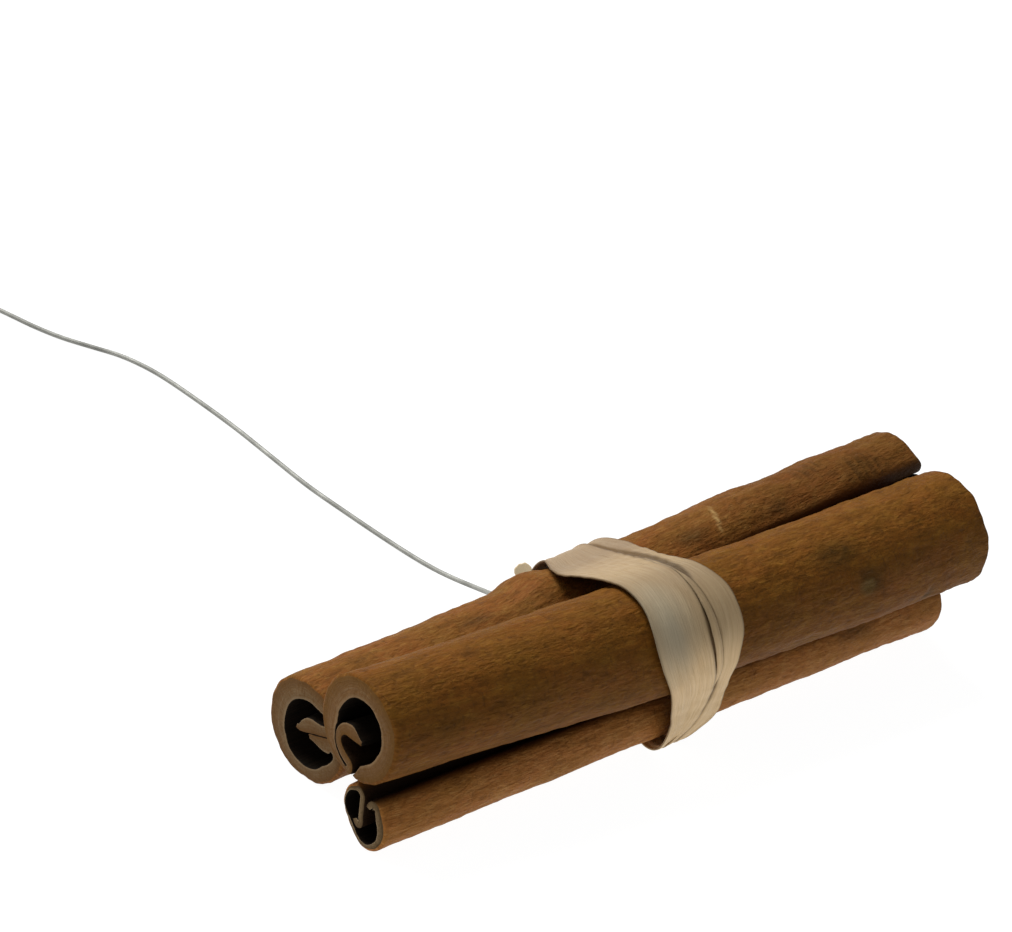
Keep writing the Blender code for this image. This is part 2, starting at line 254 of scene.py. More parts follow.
def even_points(route, count):
    """Evenly spaced points on a smooth curve through a route, and the curve's length."""
    stops = [np.array(point) for point in route]
    padded = [2 * stops[0] - stops[1]] + stops + [2 * stops[-1] - stops[-2]]
    fine = []
    for index in range(len(stops) - 1):
        for step in range(WIRE_FINE_STEPS):
            fine.append(cubic(*padded[index:index + 4], step / WIRE_FINE_STEPS))
    fine.append(stops[-1])
    fine = np.array(fine)
    travelled = np.concatenate(([0.0], np.cumsum(np.linalg.norm(np.diff(fine, axis=0), axis=1))))
    marks = np.linspace(0.0, travelled[-1], count)
    points = [[np.interp(mark, travelled, fine[:, axis]) for axis in range(3)] for mark in marks]
    return points, travelled[-1]


wire_points, wire_length = even_points(WIRE_ROUTE, WIRE_POINTS)
wire_curve = bpy.data.curves.new("stem_wire_line", "CURVE")
wire_curve.dimensions = "3D"
wire_curve.bevel_depth = WIRE_DIAMETER * MM / 2.0
wire_curve.bevel_resolution = 4
wire_curve.use_fill_caps = True
wire_spline = wire_curve.splines.new("POLY")
wire_spline.points.add(WIRE_POINTS - 1)
for spline_point, point in zip(wire_spline.points, wire_points):
    spline_point.co = (*place(*point), 1.0)
wire_form = new_object("stem_wire_form", wire_curve)
graph = bpy.context.evaluated_depsgraph_get()
wire_mesh = bpy.data.meshes.new_from_object(wire_form.evaluated_get(graph))
bpy.data.objects.remove(wire_form)
wire_mesh.shade_smooth()
wire = new_object("stem_wire_line", wire_mesh)
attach(wire, "root")
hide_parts("stem_wire")
print("wire length, mm:", round(wire_length, 1))

# %% [markdown]
# The wire has a dull grey oxide over the metal rather than a bright polish. A low
# metallic value keeps it from mirroring the white floor, and a slow noise changes its
# grey and its gloss a little along the length.

# %% Wire finish
WIRE_DARK = (0.20, 0.20, 0.18)
WIRE_PALE = (0.32, 0.32, 0.29)
WIRE_METAL = 0.25

wire_finish, tree, shader = new_material("annealed_wire", 0.6, WIRE_METAL)
where = add_node(tree, "ShaderNodeTexCoord")
clouds = add_node(tree, "ShaderNodeTexNoise", {"Scale": 420.0, "Detail": 3.0})
join(tree, where.outputs["Object"], clouds.inputs["Vector"])
cloudy = stretch(tree, clouds.outputs["Fac"], 0.3, 0.7)
join(tree, mix_colour(tree, cloudy, WIRE_DARK, WIRE_PALE), shader.inputs["Base Color"])
join(tree, stretch(tree, clouds.outputs["Fac"], 0.3, 0.7, 0.70, 0.55), shader.inputs["Roughness"])
wire_mesh.materials.append(wire_finish)

# %% [markdown]
# ## The quills: a sheet of bark, rolled
# A quill is not a tube. It is a sheet of inner bark that dried and curled in from both
# long edges. The model is made the same way: a flat grid is the sheet, and its section
# is walked like a turtle drawing, first round half the ring and then through the moves
# that curl the edge inward. The other half is the same walk, mirrored.
# The values are those of the solids: the axis from the near end to the far end, a bow,
# three outer radii, the wall, and the moves of both edges.

# %% Quill measures
QUILLS = {
    "stick_front": {
        "near": (-39.98, 0.0, 12.02), "far": (39.40, 0.0, 13.62), "bow": (-1.2, 0.3),
        "radii": (5.20, 5.70, 5.95), "far_slant": (0.02, -0.12), "wall": 1.95, "lip": 0.85,
        "seam_deg": -98.0, "twist_deg": 14.0, "rim_cuts": 6,
        "left": {"curl_radius": 0.30, "clear": -0.46, "thin_from_deg": 14.0,
                 "moves": (("curl", 30.0),)},
        "right": {"curl_radius": 0.98, "clear": 0.12, "thin_from_deg": 76.0,
                  "moves": (("curl", 168.0), ("arc", 3.35, -26.0),
                            ("arc", 0.7, -134.0), ("line", 2.0))},
    },
    "stick_back": {
        "near": (-36.85, 9.59, 5.09), "far": (42.85, 10.96, 12.79), "bow": (-0.5, 0.6),
        "radii": (5.35, 5.05, 4.85), "far_slant": (0.0, 0.0), "wall": 1.75, "lip": 1.15,
        "seam_deg": 159.0, "twist_deg": -12.0, "rim_cuts": 6,
        "left": {"curl_radius": 1.5, "clear": 0.03, "thin_from_deg": 35.0,
                 "moves": (("inward",), ("line", 3.9), ("arc", 1.15, 40.0))},
        "right": {"curl_radius": 1.7, "clear": 0.03, "thin_from_deg": 35.0,
                  "moves": (("inward",), ("line", 2.5))},
    },
    "stick_lower": {
        "near": (-39.14, -1.94, 3.18), "far": (40.25, 2.63, 3.67), "bow": (-0.6, 0.45),
        "radii": (3.33, 3.33, 3.82), "far_slant": (0.0, 0.0), "wall": 0.85, "lip": 0.62,
        "seam_deg": 92.0, "twist_deg": 20.0, "rim_cuts": 3,
        "left": {"curl_radius": 1.1, "clear": 0.05, "thin_from_deg": 30.0,
                 "moves": (("curl", 112.0), ("line", 2.5), ("arc", 0.95, 165.0))},
        "right": {"curl_radius": 1.1, "clear": 0.32, "thin_from_deg": 30.0,
                  "moves": (("curl", 118.0), ("line", 0.25))},
    },
}
# Quill, place along X, direction round it, height, half length, half angle.
# They are where a quill is thicker than its three radii say.
SWELLINGS = (
    ("stick_back", -17.0, 60.0, -0.20, 13.0, 80.0),
    ("stick_back", -8.2, 65.0, 0.75, 3.9, 80.0),
    ("stick_back", 18.0, 85.0, 0.55, 11.0, 80.0),
    ("stick_back", 32.0, 85.0, 0.45, 8.0, 80.0),
    ("stick_front", -6.0, 215.0, 0.40, 13.0, 45.0),
    ("stick_front", 24.0, 190.0, 0.25, 8.0, 60.0),
)
PRESSED_QUILL = "stick_lower"
PRESSED_LENGTH = 10.0
# Direction, half angle and depth, as a share of the radius, at the near end.
PRESSES = ((-40.0, 88.0, 0.35), (150.0, 75.0, 0.17))
STEP_LENGTH = 0.27
STEP_DEG = 14.0
ROW_LENGTH = 0.42

# %% [markdown]
# The walk returns the outer surface only. The wall comes later, from a modifier, and
# the weights say where it is thick: all round the ring, thinning toward both lips.

# %% Walk the rolled section
def walk(point, heading_deg, moves):
    """Points reached by lines and left-turning arcs, starting after the given point."""
    points = []
    x, y = point
    heading = math.radians(heading_deg)
    for kind, size, turn_deg in moves:
        length = size if kind == "line" else size * math.radians(abs(turn_deg))
        steps = max(1, math.ceil(length / STEP_LENGTH), math.ceil(abs(turn_deg) / STEP_DEG))
        turn = math.radians(turn_deg) / steps
        chord = length / steps
        if turn:
            chord = 2.0 * size * abs(math.sin(turn / 2.0))
        for _ in range(steps):
            heading += turn / 2.0
            x += chord * math.cos(heading)
            y += chord * math.sin(heading)
            heading += turn / 2.0
            points.append((x, y))
    return points


def half_roll(radius, half):
    """Outer surface of half a sheet, from its back to its edge; the seam is at +X."""
    curl = half["curl_radius"]
    before_seam = math.degrees(math.asin((curl + half["clear"]) / (radius - curl)))
    moves = [("arc", radius, 180.0 - before_seam)]
    for move in half["moves"]:
        if move[0] == "inward":
            moves.append(("arc", curl, 90.0 + before_seam))
        elif move[0] == "curl":
            moves.append(("arc", curl, move[1]))
        elif move[0] == "line":
            moves.append(("line", move[1], 0.0))
        else:
            moves.append(move)
    ring_points = walk((-radius, 0.0), -90.0, moves[:1])
    return walk((-radius, 0.0), -90.0, moves), len(ring_points)


def wall_weights(ring_count, total, thin_from_deg):
    """1 where the wall is thick, falling to 0 along the last part of the half ring."""
    thin_steps = max(1.0, ring_count * thin_from_deg / 180.0)
    return [min(1.0, max(0.0, (ring_count - index) / thin_steps)) for index in range(1, total + 1)]


def roll_section(quill):
    """Points from edge to edge, wall weights, outward directions, distances, ring flags."""
    radius = quill["radii"][0]
    left, left_ring = half_roll(radius, quill["left"])
    right, right_ring = half_roll(radius, quill["right"])
    left_weights = wall_weights(left_ring, len(left), quill["left"]["thin_from_deg"])
    right_weights = wall_weights(right_ring, len(right), quill["right"]["thin_from_deg"])
    points = np.array([(x, -y) for x, y in reversed(right)] + [(-radius, 0.0)] + left)
    weights = list(reversed(right_weights)) + [1.0] + left_weights
    heading = np.gradient(points, axis=0)
    outward = np.stack((heading[:, 1], -heading[:, 0]), axis=1)
    outward /= np.linalg.norm(outward, axis=1)[:, None]
    steps = np.linalg.norm(np.diff(points, axis=0), axis=1)
    across = np.concatenate(([0.0], np.cumsum(steps)))
    ring = range(len(right) - right_ring, len(right) + left_ring + 1)
    return points, weights, outward, across, [index in ring for index in range(len(points))]


for name, quill in QUILLS.items():
    section = roll_section(quill)[0]
    print(name, "columns:", len(section) - 1)

# %% [markdown]
# Each point of the section is then carried to its place along the quill: turned by the
# slow twist of the seam, scaled by the radius there, and set on the bowed axis.

# %% Carry the section along the quill
def through_three(values, t):
    """Parabola through values at 0, 0.5 and 1."""
    first, middle, last = values
    return first + (4 * middle - 3 * first - last) * t + (2 * first + 2 * last - 4 * middle) * t * t


def quill_axis(quill, t):
    near = np.array(quill["near"])
    far = np.array(quill["far"])
    bow = np.array((0.0, *quill["bow"]))
    return near + (far - near) * t + bow * (4.0 * t * (1.0 - t))


def quill_radius(name, quill, x, t, angle_deg):
    """Outer radius of a quill at t along it, in a direction round it."""
    radius = through_three(quill["radii"], t)
    for owner, at_x, at_deg, height, half_length, half_deg in SWELLINGS:
        if owner == name and abs(x - at_x) < half_length:
            radius += height * bump(x - at_x, half_length) * bump_round(angle_deg, at_deg, half_deg)
    from_end = x - quill["near"][0]
    if name == PRESSED_QUILL and from_end < PRESSED_LENGTH:
        for at_deg, half_deg, depth in PRESSES:
            pressed = bump(from_end, PRESSED_LENGTH) * bump_round(angle_deg, at_deg, half_deg)
            radius *= 1.0 - depth * pressed
    return radius


def quill_frame(quill):
    """Directions along the quill, across it and up."""
    direction = np.array(quill["far"]) - np.array(quill["near"])
    length = np.linalg.norm(direction)
    direction /= length
    across_axis = np.array((0.0, 1.0, 0.0)) - direction * direction[1]
    across_axis /= np.linalg.norm(across_axis)
    return direction, across_axis, np.cross(direction, across_axis), length


# %% [markdown]
# ## Relief of the bark
# Bark is never smooth. Long wrinkles run with the grain, slow waves change the outline,
# and here and there are the scars of twigs, dark dents and a pale line across. Noise
# that is stretched along the sheet gives the wrinkles. The named marks are listed one
# by one, and a few more are scattered over the sides that are seldom seen.
# A mark also leaves a number on each vertex, which the material reads as a mask.

# %% Relief helpers
# Quill, kind, place along X, direction round it, half length, half angle, height.
MARKS = [
    ("stick_front", "stain", 17.4, 124.0, 5.4, 26.0, -0.04),
    ("stick_front", "scar", 20.4, 164.0, 2.2, 14.0, 0.12),
    ("stick_front", "stain", 21.0, 160.0, 3.0, 24.0, -0.05),
    ("stick_back", "ridges", 35.2, 116.0, 5.2, 44.0, 0.12),
    ("stick_back", "ridges", 28.8, 82.0, 3.6, 24.0, 0.08),
    ("stick_back", "stain", 22.2, 116.0, 2.8, 18.0, -0.10),
    ("stick_back", "stain", 10.5, 108.0, 3.6, 18.0, -0.06),
    ("stick_back", "line", 14.6, 98.0, 2.2, 36.0, 0.04),
    ("stick_back", "stain", -17.0, 96.0, 3.4, 14.0, -0.08),
    ("stick_lower", "stain", 26.0, 150.0, 5.0, 30.0, -0.06),
]
RIDGE_STEP = 1.1
# Half width of the pale line, and how far it moves along the quill for each degree round it.
LINE_HALF = 0.5
LINE_LEAN = 0.035
SCATTERED_MARKS = 7
MARK_SEED = 11
SEAM_CALM = 1.3


def scatter_marks():
    """A few more scars and stains behind and below, the same on each run."""
    dice = np.random.default_rng(MARK_SEED)
    for name in QUILLS:
        for index in range(SCATTERED_MARKS):
            kind = "scar" if index % 3 == 0 else "stain"
            at_x = dice.uniform(-34.0, 36.0)
            at_deg = dice.uniform(195.0, 410.0)
            half_length = dice.uniform(1.0, 3.2)
            half_deg = dice.uniform(10.0, 24.0)
            height = dice.uniform(0.06, 0.14) * (1.0 if kind == "scar" else -1.0)
            MARKS.append((name, kind, at_x, at_deg, half_length, half_deg, height))


def ripple(across, along, across_size, along_size, offset):
    """Smooth noise from -1 to 1 with its own size across and along the sheet."""
    return noise.noise(Vector((across / across_size, along / along_size, offset)))


def bark_relief(seed, across, along, rough):
    """Height of the plain bark in millimetres; rough is the share of lumps and pits."""
    waves = 0.16 * ripple(across, along, 5.5, 11.0, seed)
    wander = across + 0.9 * ripple(across, along, 5.0, 6.0, seed + 3.0)
    wrinkles = 0.065 * ripple(wander, along, 1.25, 7.0, seed + 7.0)
    grain = 0.040 * ripple(wander, along, 0.60, 2.6, seed + 13.0)
    lumps = 0.110 * ripple(across, along, 1.9, 2.2, seed + 23.0)
    pits = 0.060 * ripple(across, along, 0.85, 0.8, seed + 19.0)
    return waves + wrinkles + grain + rough * lumps + (0.5 + rough) * pits


def mark_at(name, x, angle_deg):
    """Height, and the stain, scar and pale line left by the marks at a place on a quill."""
    height, stain, scar, pale = 0.0, 0.0, 0.0, 0.0
    for owner, kind, at_x, at_deg, half_length, half_deg, mark_height in MARKS:
        if owner != name or abs(x - at_x) > half_length:
            continue
        away = math.hypot((x - at_x) / half_length, turn_between(angle_deg, at_deg) / half_deg)
        if kind == "line":
            turn = turn_between(angle_deg, at_deg)
            amount = bump(x - at_x + LINE_LEAN * turn, LINE_HALF) * bump(turn, half_deg)
            pale = max(pale, amount)
            height += mark_height * amount
            continue
        amount = bump(away, 1.0)
        if kind == "ridges":
            wave = math.sin(math.tau * (x + 0.3 * ripple(angle_deg, x, 25.0, 2.0, at_x)) / RIDGE_STEP)
            height += mark_height * amount * wave
            stain = max(stain, min(1.0, amount * (0.95 - 0.75 * wave)))
            continue
        height += mark_height * (amount - 1.7 * bump(away, 0.45) * (kind == "scar"))
        if kind == "stain":
            stain = max(stain, amount)
        else:
            scar = max(scar, amount)
    return height, stain, scar, pale


scatter_marks()
print("marks on the bark:", len(MARKS))

# %% [markdown]
# ## From sheet to wall
# `create_grid` makes the flat sheet in one step, and each of its vertices is then moved
# to its place on the roll. The Solidify modifier gives the wall its thickness inward,
# with one material for the inner bark and one for the cut rim, and is then applied.
# The ends were cut by a blade, so they are nearly flat: the rows next to a cut are
# shifted a little by noise, more at the rough far end of the front quill.

# %% Bark sheet
OUTER, INNER, RIM = 0, 1, 2
CUT_DEPTH = 1.6
CUT_ROUGHNESS = {
    "stick_front": (0.12, 0.34),
    "stick_back": (0.12, 0.14),
    "stick_lower": (0.14, 0.16),
}
WALL_VARIATION = 0.07
# Direction round a quill, half angle, and how much thicker its wall is there.
THICK_SIDE = {
    "stick_front": (5.0, 110.0, 0.85),
    "stick_back": (0.0, 115.0, 0.90),
    "stick_lower": (20.0, 90.0, -0.3),
}
# Thickness of a lip's edge, how much thicker the lip gets, and over which distances from the edge.
LIP_SHAPE = {
    "stick_front": (0.50, 0.75, 1.5, 1.7),
    "stick_back": (0.50, 0.60, 2.0, 2.2),
    "stick_lower": (0.50, 0.35, 1.3, 1.7),
}
# Share of lumps and pits at the near end and at the far end.
LUMPINESS = {"stick_front": (0.15, 1.0), "stick_back": (0.75, 0.95), "stick_lower": (0.35, 0.6)}
INSIDE_REACH = 1.2
LIP_CALM = 0.35
LIP_TAPER = 3.0
MASKS = ("relief", "stain", "scar", "pale", "inside")


def cut_shift(name, seed, across, from_near, from_far):
    """How far a vertex near a cut is pulled back from it, in millimetres."""
    near_rough, far_rough = CUT_ROUGHNESS[name]
    if from_near < CUT_DEPTH:
        uneven = 0.5 + 0.6 * ripple(across, 0.0, 2.4, 1.0, seed)
        uneven += 0.3 * ripple(across, 0.0, 0.6, 1.0, seed)
        return near_rough * max(0.0, uneven) * (1.0 - from_near / CUT_DEPTH)
    if from_far < CUT_DEPTH:
        uneven = 0.4 + 0.8 * ripple(across, 9.0, 2.4, 1.0, seed)
        uneven += 0.3 * ripple(across, 9.0, 0.8, 1.0, seed)
        return -far_rough * max(0.0, uneven) * (1.0 - from_far / CUT_DEPTH)
    return 0.0


def make_sheet(name, quill, seed):
    """The outer surface of one quill as an object, with its masks and wall weights."""
    points, weights, outward, across, on_ring = roll_section(quill)
    direction, across_axis, up_axis, length = quill_frame(quill)
    columns = len(points) - 1
    rows = round(length / ROW_LENGTH)
    bm = bmesh.new()
    bmesh.ops.create_grid(bm, x_segments=columns, y_segments=rows, size=0.5)
    sheet = bm.verts.layers.float_vector.new("sheet")
    outward_layer = bm.verts.layers.float_vector.new("outward")
    mask_layers = [bm.verts.layers.float.new(mask) for mask in MASKS]
    ring_start = on_ring.index(True)
    ring_end = columns - on_ring[::-1].index(True)
    rough_near, rough_far = LUMPINESS[name]
    side_deg, side_half, extra = THICK_SIDE[name]
    edge, lip_extra, lip_place, lip_half = LIP_SHAPE[name]
    full = quill["wall"] + max(extra, 0.0)
    bm.verts.index_update()
    thickness = []
    slant_across, slant_upward = quill["far_slant"]
    for vertex in bm.verts:
        column = round((vertex.co.x + 0.5) * columns)
        t = vertex.co.y + 0.5
        along = t * length
        x_here = quill["near"][0] + (quill["far"][0] - quill["near"][0]) * t
        seam = math.radians(quill["seam_deg"] + quill["twist_deg"] * t)
        turn_x, turn_y = math.cos(seam), math.sin(seam)
        section_x, section_y = points[column]
        sideways = section_x * turn_x - section_y * turn_y
        upward = section_x * turn_y + section_y * turn_x
        angle_deg = math.degrees(math.atan2(upward, sideways))
        from_edge = min(across[column], across[-1] - across[column])
        rough = rough_near + (rough_far - rough_near) * t
        height = bark_relief(seed, across[column], along, rough)
        height *= 1.0 if on_ring[column] else LIP_CALM
        stain, scar, pale = 0.0, 0.0, 0.0
        past_seam = max(across[ring_start] - across[column], across[column] - across[ring_end], 0.0)
        if on_ring[column]:
            mark_height, stain, scar, pale = mark_at(name, x_here, angle_deg)
            height += mark_height
        height *= min(1.0, 0.25 + from_edge / SEAM_CALM)
        out_x, out_y = outward[column]
        out = (out_x * turn_x - out_y * turn_y) * across_axis
        out = out + (out_x * turn_y + out_y * turn_x) * up_axis
        scale = quill_radius(name, quill, x_here, t, angle_deg) / quill["radii"][0]
        point = quill_axis(quill, t) + scale * (sideways * across_axis + upward * up_axis)
        lean = t * (slant_across * sideways + slant_upward * upward)
        shift = cut_shift(name, seed, across[column], along, length - along)
        point = point + direction * (lean + shift)
        vertex.co = place(*point)
        vertex[sheet] = (across[column], along, 0.0)
        vertex[outward_layer] = out
        # How far past the seam, into the roll; the material paints shade there.
        inside = min(1.0, past_seam / INSIDE_REACH)
        for layer, value in zip(mask_layers, (height, stain, scar, pale, inside)):
            vertex[layer] = value
        uneven = WALL_VARIATION * ripple(across[column], along, 2.2, 8.0, seed + 31.0)
        thick = (quill["wall"] - quill["lip"]) * (weights[column] * (1.0 - WALL_VARIATION) + uneven)
        thick += (quill["lip"] - edge) * min(1.0, from_edge / LIP_TAPER)
        if on_ring[column]:
            on_side = bump_round(angle_deg, side_deg, side_half)
            thick += extra * on_side * min(1.0, 1.6 * weights[column])
        else:
            thick += lip_extra * bump(from_edge - lip_place, lip_half)
        thickness.append(min(1.0, max(0.0, thick / (full - edge))))
    item = mesh_object(name + "_bark", bm)
    group = item.vertex_groups.new(name="wall")
    for index, weight in enumerate(thickness):
        group.add([index], weight, "REPLACE")
    return item


def apply_modifiers(item):
    """Puts the result of an object's modifiers into its own mesh."""
    graph = bpy.context.evaluated_depsgraph_get()
    shaped = bpy.data.meshes.new_from_object(item.evaluated_get(graph))
    item.modifiers.clear()
    item.vertex_groups.clear()
    old = item.data
    item.data = shaped
    bpy.data.meshes.remove(old)


def give_wall(item, name, quill):
    full = quill["wall"] + max(THICK_SIDE[name][2], 0.0)
    solidify = item.modifiers.new("bark_thickness", "SOLIDIFY")
    solidify.thickness = full * MM
    solidify.offset = -1.0
    solidify.use_even_offset = True
    solidify.vertex_group = "wall"
    solidify.thickness_vertex_group = LIP_SHAPE[name][0] / full
    solidify.material_offset = INNER
    solidify.material_offset_rim = RIM
    apply_modifiers(item)


# %% [markdown]
# ## Relief and cut rims
# The relief is added once the wall is there, so that the inside stays smooth: each
# vertex of the outer face moves along the outward direction that was kept with it.
# A cut end shows the layers of the bark as faint rings. The rungs of the rim are
# subdivided, so that there are vertices between the outer and the inner edge, and a
# noise that is fine through the wall and slow along it lifts them in rings. The outer
# edge of a cut is worn round, so its vertices are drawn in and back, and a small bevel
# then softens every edge.

# %% Cut rims
INNER_RELIEF = 0.05
RIM_BEVEL = 0.06
RING_HEIGHT = 0.06
WORN_EDGE = 0.24
# A rim face that looks less than this along the quill is the long edge of a lip.
LIP_FACING = 0.45


def shape_rims(item, quill, seed):
    """Adds the rings and the worn edges of both cut ends, and of the lips."""
    direction, _, _, length = quill_frame(quill)
    direction = Vector(direction)
    bm = bmesh.new()
    bm.from_mesh(item.data)
    sheet = bm.verts.layers.float_vector["sheet"]
    outward = bm.verts.layers.float_vector["outward"]
    relief = bm.verts.layers.float["relief"]
    inside = bm.verts.layers.float["inside"]
    inner_faces = [face for face in bm.faces if face.material_index == INNER]
    inner_verts = {vertex for face in inner_faces for vertex in face.verts}
    for vertex in bm.verts:
        across, along, _ = vertex[sheet]
        if vertex in inner_verts:
            vertex[sheet] = (across, along, 1.0)
            height = INNER_RELIEF * ripple(across, along, 1.4, 9.0, seed + 43.0)
        else:
            height = vertex[relief]
        vertex.co += vertex[outward] * height * MM
    for vertex in bm.verts:
        kinds = {face.material_index for face in vertex.link_faces}
        if kinds == {OUTER, RIM}:
            inward = 1.0 if vertex[sheet][1] < length / 2.0 else -1.0
            worn = WORN_EDGE * (1.0 - vertex[inside])
            vertex.co += (direction * inward - vertex[outward]) * worn * MM
    rungs = [edge for edge in bm.edges if all(face.material_index == RIM for face in edge.link_faces)]
    cut = bmesh.ops.subdivide_edges(bm, edges=rungs, cuts=quill["rim_cuts"], use_grid_fill=True)
    between = {part for part in cut["geom_inner"] if isinstance(part, bmesh.types.BMVert)}
    for vertex in between:
        across, along, depth = vertex[sheet]
        rings = noise.noise(Vector((across * 0.35, depth * quill["wall"] * 4.2, seed)))
        fine = noise.noise(Vector((across * 2.6, depth * quill["wall"] * 3.0, seed + 5.0)))
        vertex.co += direction * (rings + 0.5 * fine) * RING_HEIGHT * MM
    edges = [edge for edge in bm.edges if len({face.material_index for face in edge.link_faces}) == 2]
    bmesh.ops.bevel(bm, geom=edges, offset=RIM_BEVEL * MM, offset_type="OFFSET", segments=2,
                    profile=0.5, affect="EDGES", material=-1, clamp_overlap=False)
    for vertex in bm.verts:
        vertex.co.z = max(vertex.co.z, 0.0)
    for face in bm.faces:
        face.smooth = True
        # Lip edges deep inside the roll take the inner bark's near-black colour: painted shade.
        if face.material_index == RIM and abs(face.normal.dot(direction)) < LIP_FACING:
            if min(vertex[inside] for vertex in face.verts) > 0.5:
                face.material_index = INNER
    bm.to_mesh(item.data)
    bm.free()


# %% Make the three quills
SEEDS = {"stick_front": 3.3, "stick_back": 41.7, "stick_lower": 77.1}
quill_objects = {}
for name, quill in QUILLS.items():
    item = make_sheet(name, quill, SEEDS[name])
    for slot in ("outer", "inner", "rim"):
        item.data.materials.append(None)
    give_wall(item, name, quill)
    shape_rims(item, quill, SEEDS[name])
    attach(item, "root")
    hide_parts(name)
    quill_objects[name] = item
    print(item.name, "faces:", len(item.data.polygons))

# %% [markdown]
# ## Shared effects
# Bark and raffia are both made of long fibres, and both are mottled. Each effect is a
# node group that is made once and takes the sheet's own coordinates, in millimetres, so
# its pattern follows the roll. A group only puts out a number between 0 and 1, and each
# material decides what it does with it.

# %% Node groups
def noise_group(name, reach, detail, roughness, low, high):
    """Noise that is stretched by reach across and along the sheet, between two levels."""
    group = bpy.data.node_groups.new(name, "ShaderNodeTree")
    for label, way, kind in (("Sheet", "INPUT", "Vector"), ("Fineness", "INPUT", "Float"),
                             ("Mask", "OUTPUT", "Float")):
        group.interface.new_socket(label, in_out=way, socket_type="NodeSocket" + kind)
    entry = group.nodes.new("NodeGroupInput")
    result = group.nodes.new("NodeGroupOutput")
    scaled = add_node(group, "ShaderNodeMapping", {"Scale": reach})
    settings = {"Detail": detail, "Roughness": roughness, "Distortion": 0.3}
    cloud = add_node(group, "ShaderNodeTexNoise", settings)
    join(group, entry.outputs["Sheet"], scaled.inputs["Vector"])
    join(group, scaled.outputs["Vector"], cloud.inputs["Vector"])
    join(group, entry.outputs["Fineness"], cloud.inputs["Scale"])
    join(group, stretch(group, cloud.outputs["Fac"], low, high), result.inputs["Mask"])
    return group


fibre_group = noise_group("long_fibres", (1.0, 0.06, 1.0), 6.0, 0.62, 0.28, 0.72)
grain_group = noise_group("short_grain", (1.0, 0.22, 1.0), 5.0, 0.60, 0.30, 0.70)
mottle_group = noise_group("mottling", (1.0, 0.42, 1.0), 4.0, 0.55, 0.30, 0.70)
crack_group = noise_group("cross_cracks", (0.30, 1.5, 1.0), 4.0, 0.6, 0.60, 0.72)
layer_group = noise_group("cut_layers", (0.25, 0.05, 6.0), 4.0, 0.6, 0.30, 0.70)


def place_groups(tree, sheet, *wanted):
    """The masks of groups in a material, each fed with the sheet's coordinates."""
    masks = []
    for group, fineness in wanted:
        node = add_node(tree, "ShaderNodeGroup", node_tree=group)
        node.inputs["Fineness"].default_value = fineness
        join(tree, sheet, node.inputs["Sheet"])
        masks.append(node.outputs["Mask"])
    return masks


def add_bump(tree, shader, height, depth_mm, strength):
    node = add_node(tree, "ShaderNodeBump", {"Strength": strength, "Distance": depth_mm * MM})
    join(tree, height, node.inputs["Height"])
    join(tree, node.outputs["Normal"], shader.inputs["Normal"])


# %% [markdown]
# ## Outer bark
# The bark's brown comes from three noises that work together. Fibres draw light and
# dark streaks along the quill, mottling moves between an olive brown and a redder one,
# and cracks are short dark lines across. The stains and scars were left on the vertices
# while the relief was made, so colour and shape agree.

# %% Outer bark material
BARK_GLOSS = 0.08
# The last entry says from where to where along a quill its bark darkens, and by how much.
BARK_TONES = {
    "stick_front": {
        "dark": (0.062, 0.023, 0.0021), "mid": (0.139, 0.056, 0.0048),
        "red": (0.160, 0.054, 0.0060), "pale": (0.235, 0.110, 0.0150), "far": (44.0, 62.0, 0.0)},
    "stick_back": {
        "dark": (0.072, 0.027, 0.0036), "mid": (0.165, 0.069, 0.0100),
        "red": (0.196, 0.064, 0.0120), "pale": (0.285, 0.152, 0.0370), "far": (46.0, 62.0, 0.35)},
    "stick_lower": {
        "dark": (0.150, 0.056, 0.0096), "mid": (0.310, 0.134, 0.0270),
        "red": (0.340, 0.124, 0.0290), "pale": (0.450, 0.240, 0.0780), "far": (40.0, 62.0, 0.15)},
}
STAIN_COLOUR = (0.030, 0.017, 0.0030)
SCAR_COLOUR = (0.150, 0.105, 0.0350)
LINE_COLOUR = (0.420, 0.270, 0.1000)
# Painted shade on the outer bark that lies curled inside the roll.
INSIDE_SHADE_COLOUR = (0.020, 0.009, 0.0030)


def add_marks(tree, colour, grain, clumps):
    """Stains, scars, the pale line and the painted shade inside the roll over a bark colour."""
    clumpy = stretch(tree, clumps, 0.0, 1.0, 0.45, 1.5)
    broken = calculate(tree, "MULTIPLY", read_value(tree, "stain"), clumpy)
    grainy = stretch(tree, grain, 0.0, 1.0, 0.5, 1.5)
    flaky = calculate(tree, "MULTIPLY", read_value(tree, "scar"), grainy)
    colour = tint(tree, colour, broken, 0.10, 1.10, 0.62, STAIN_COLOUR)
    colour = tint(tree, colour, flaky, 0.20, 0.90, 0.45, SCAR_COLOUR)
    colour = tint(tree, colour, read_value(tree, "pale"), 0.2, 0.9, 0.8, LINE_COLOUR)
    return mix_colour(tree, read_value(tree, "inside"), colour, INSIDE_SHADE_COLOUR)


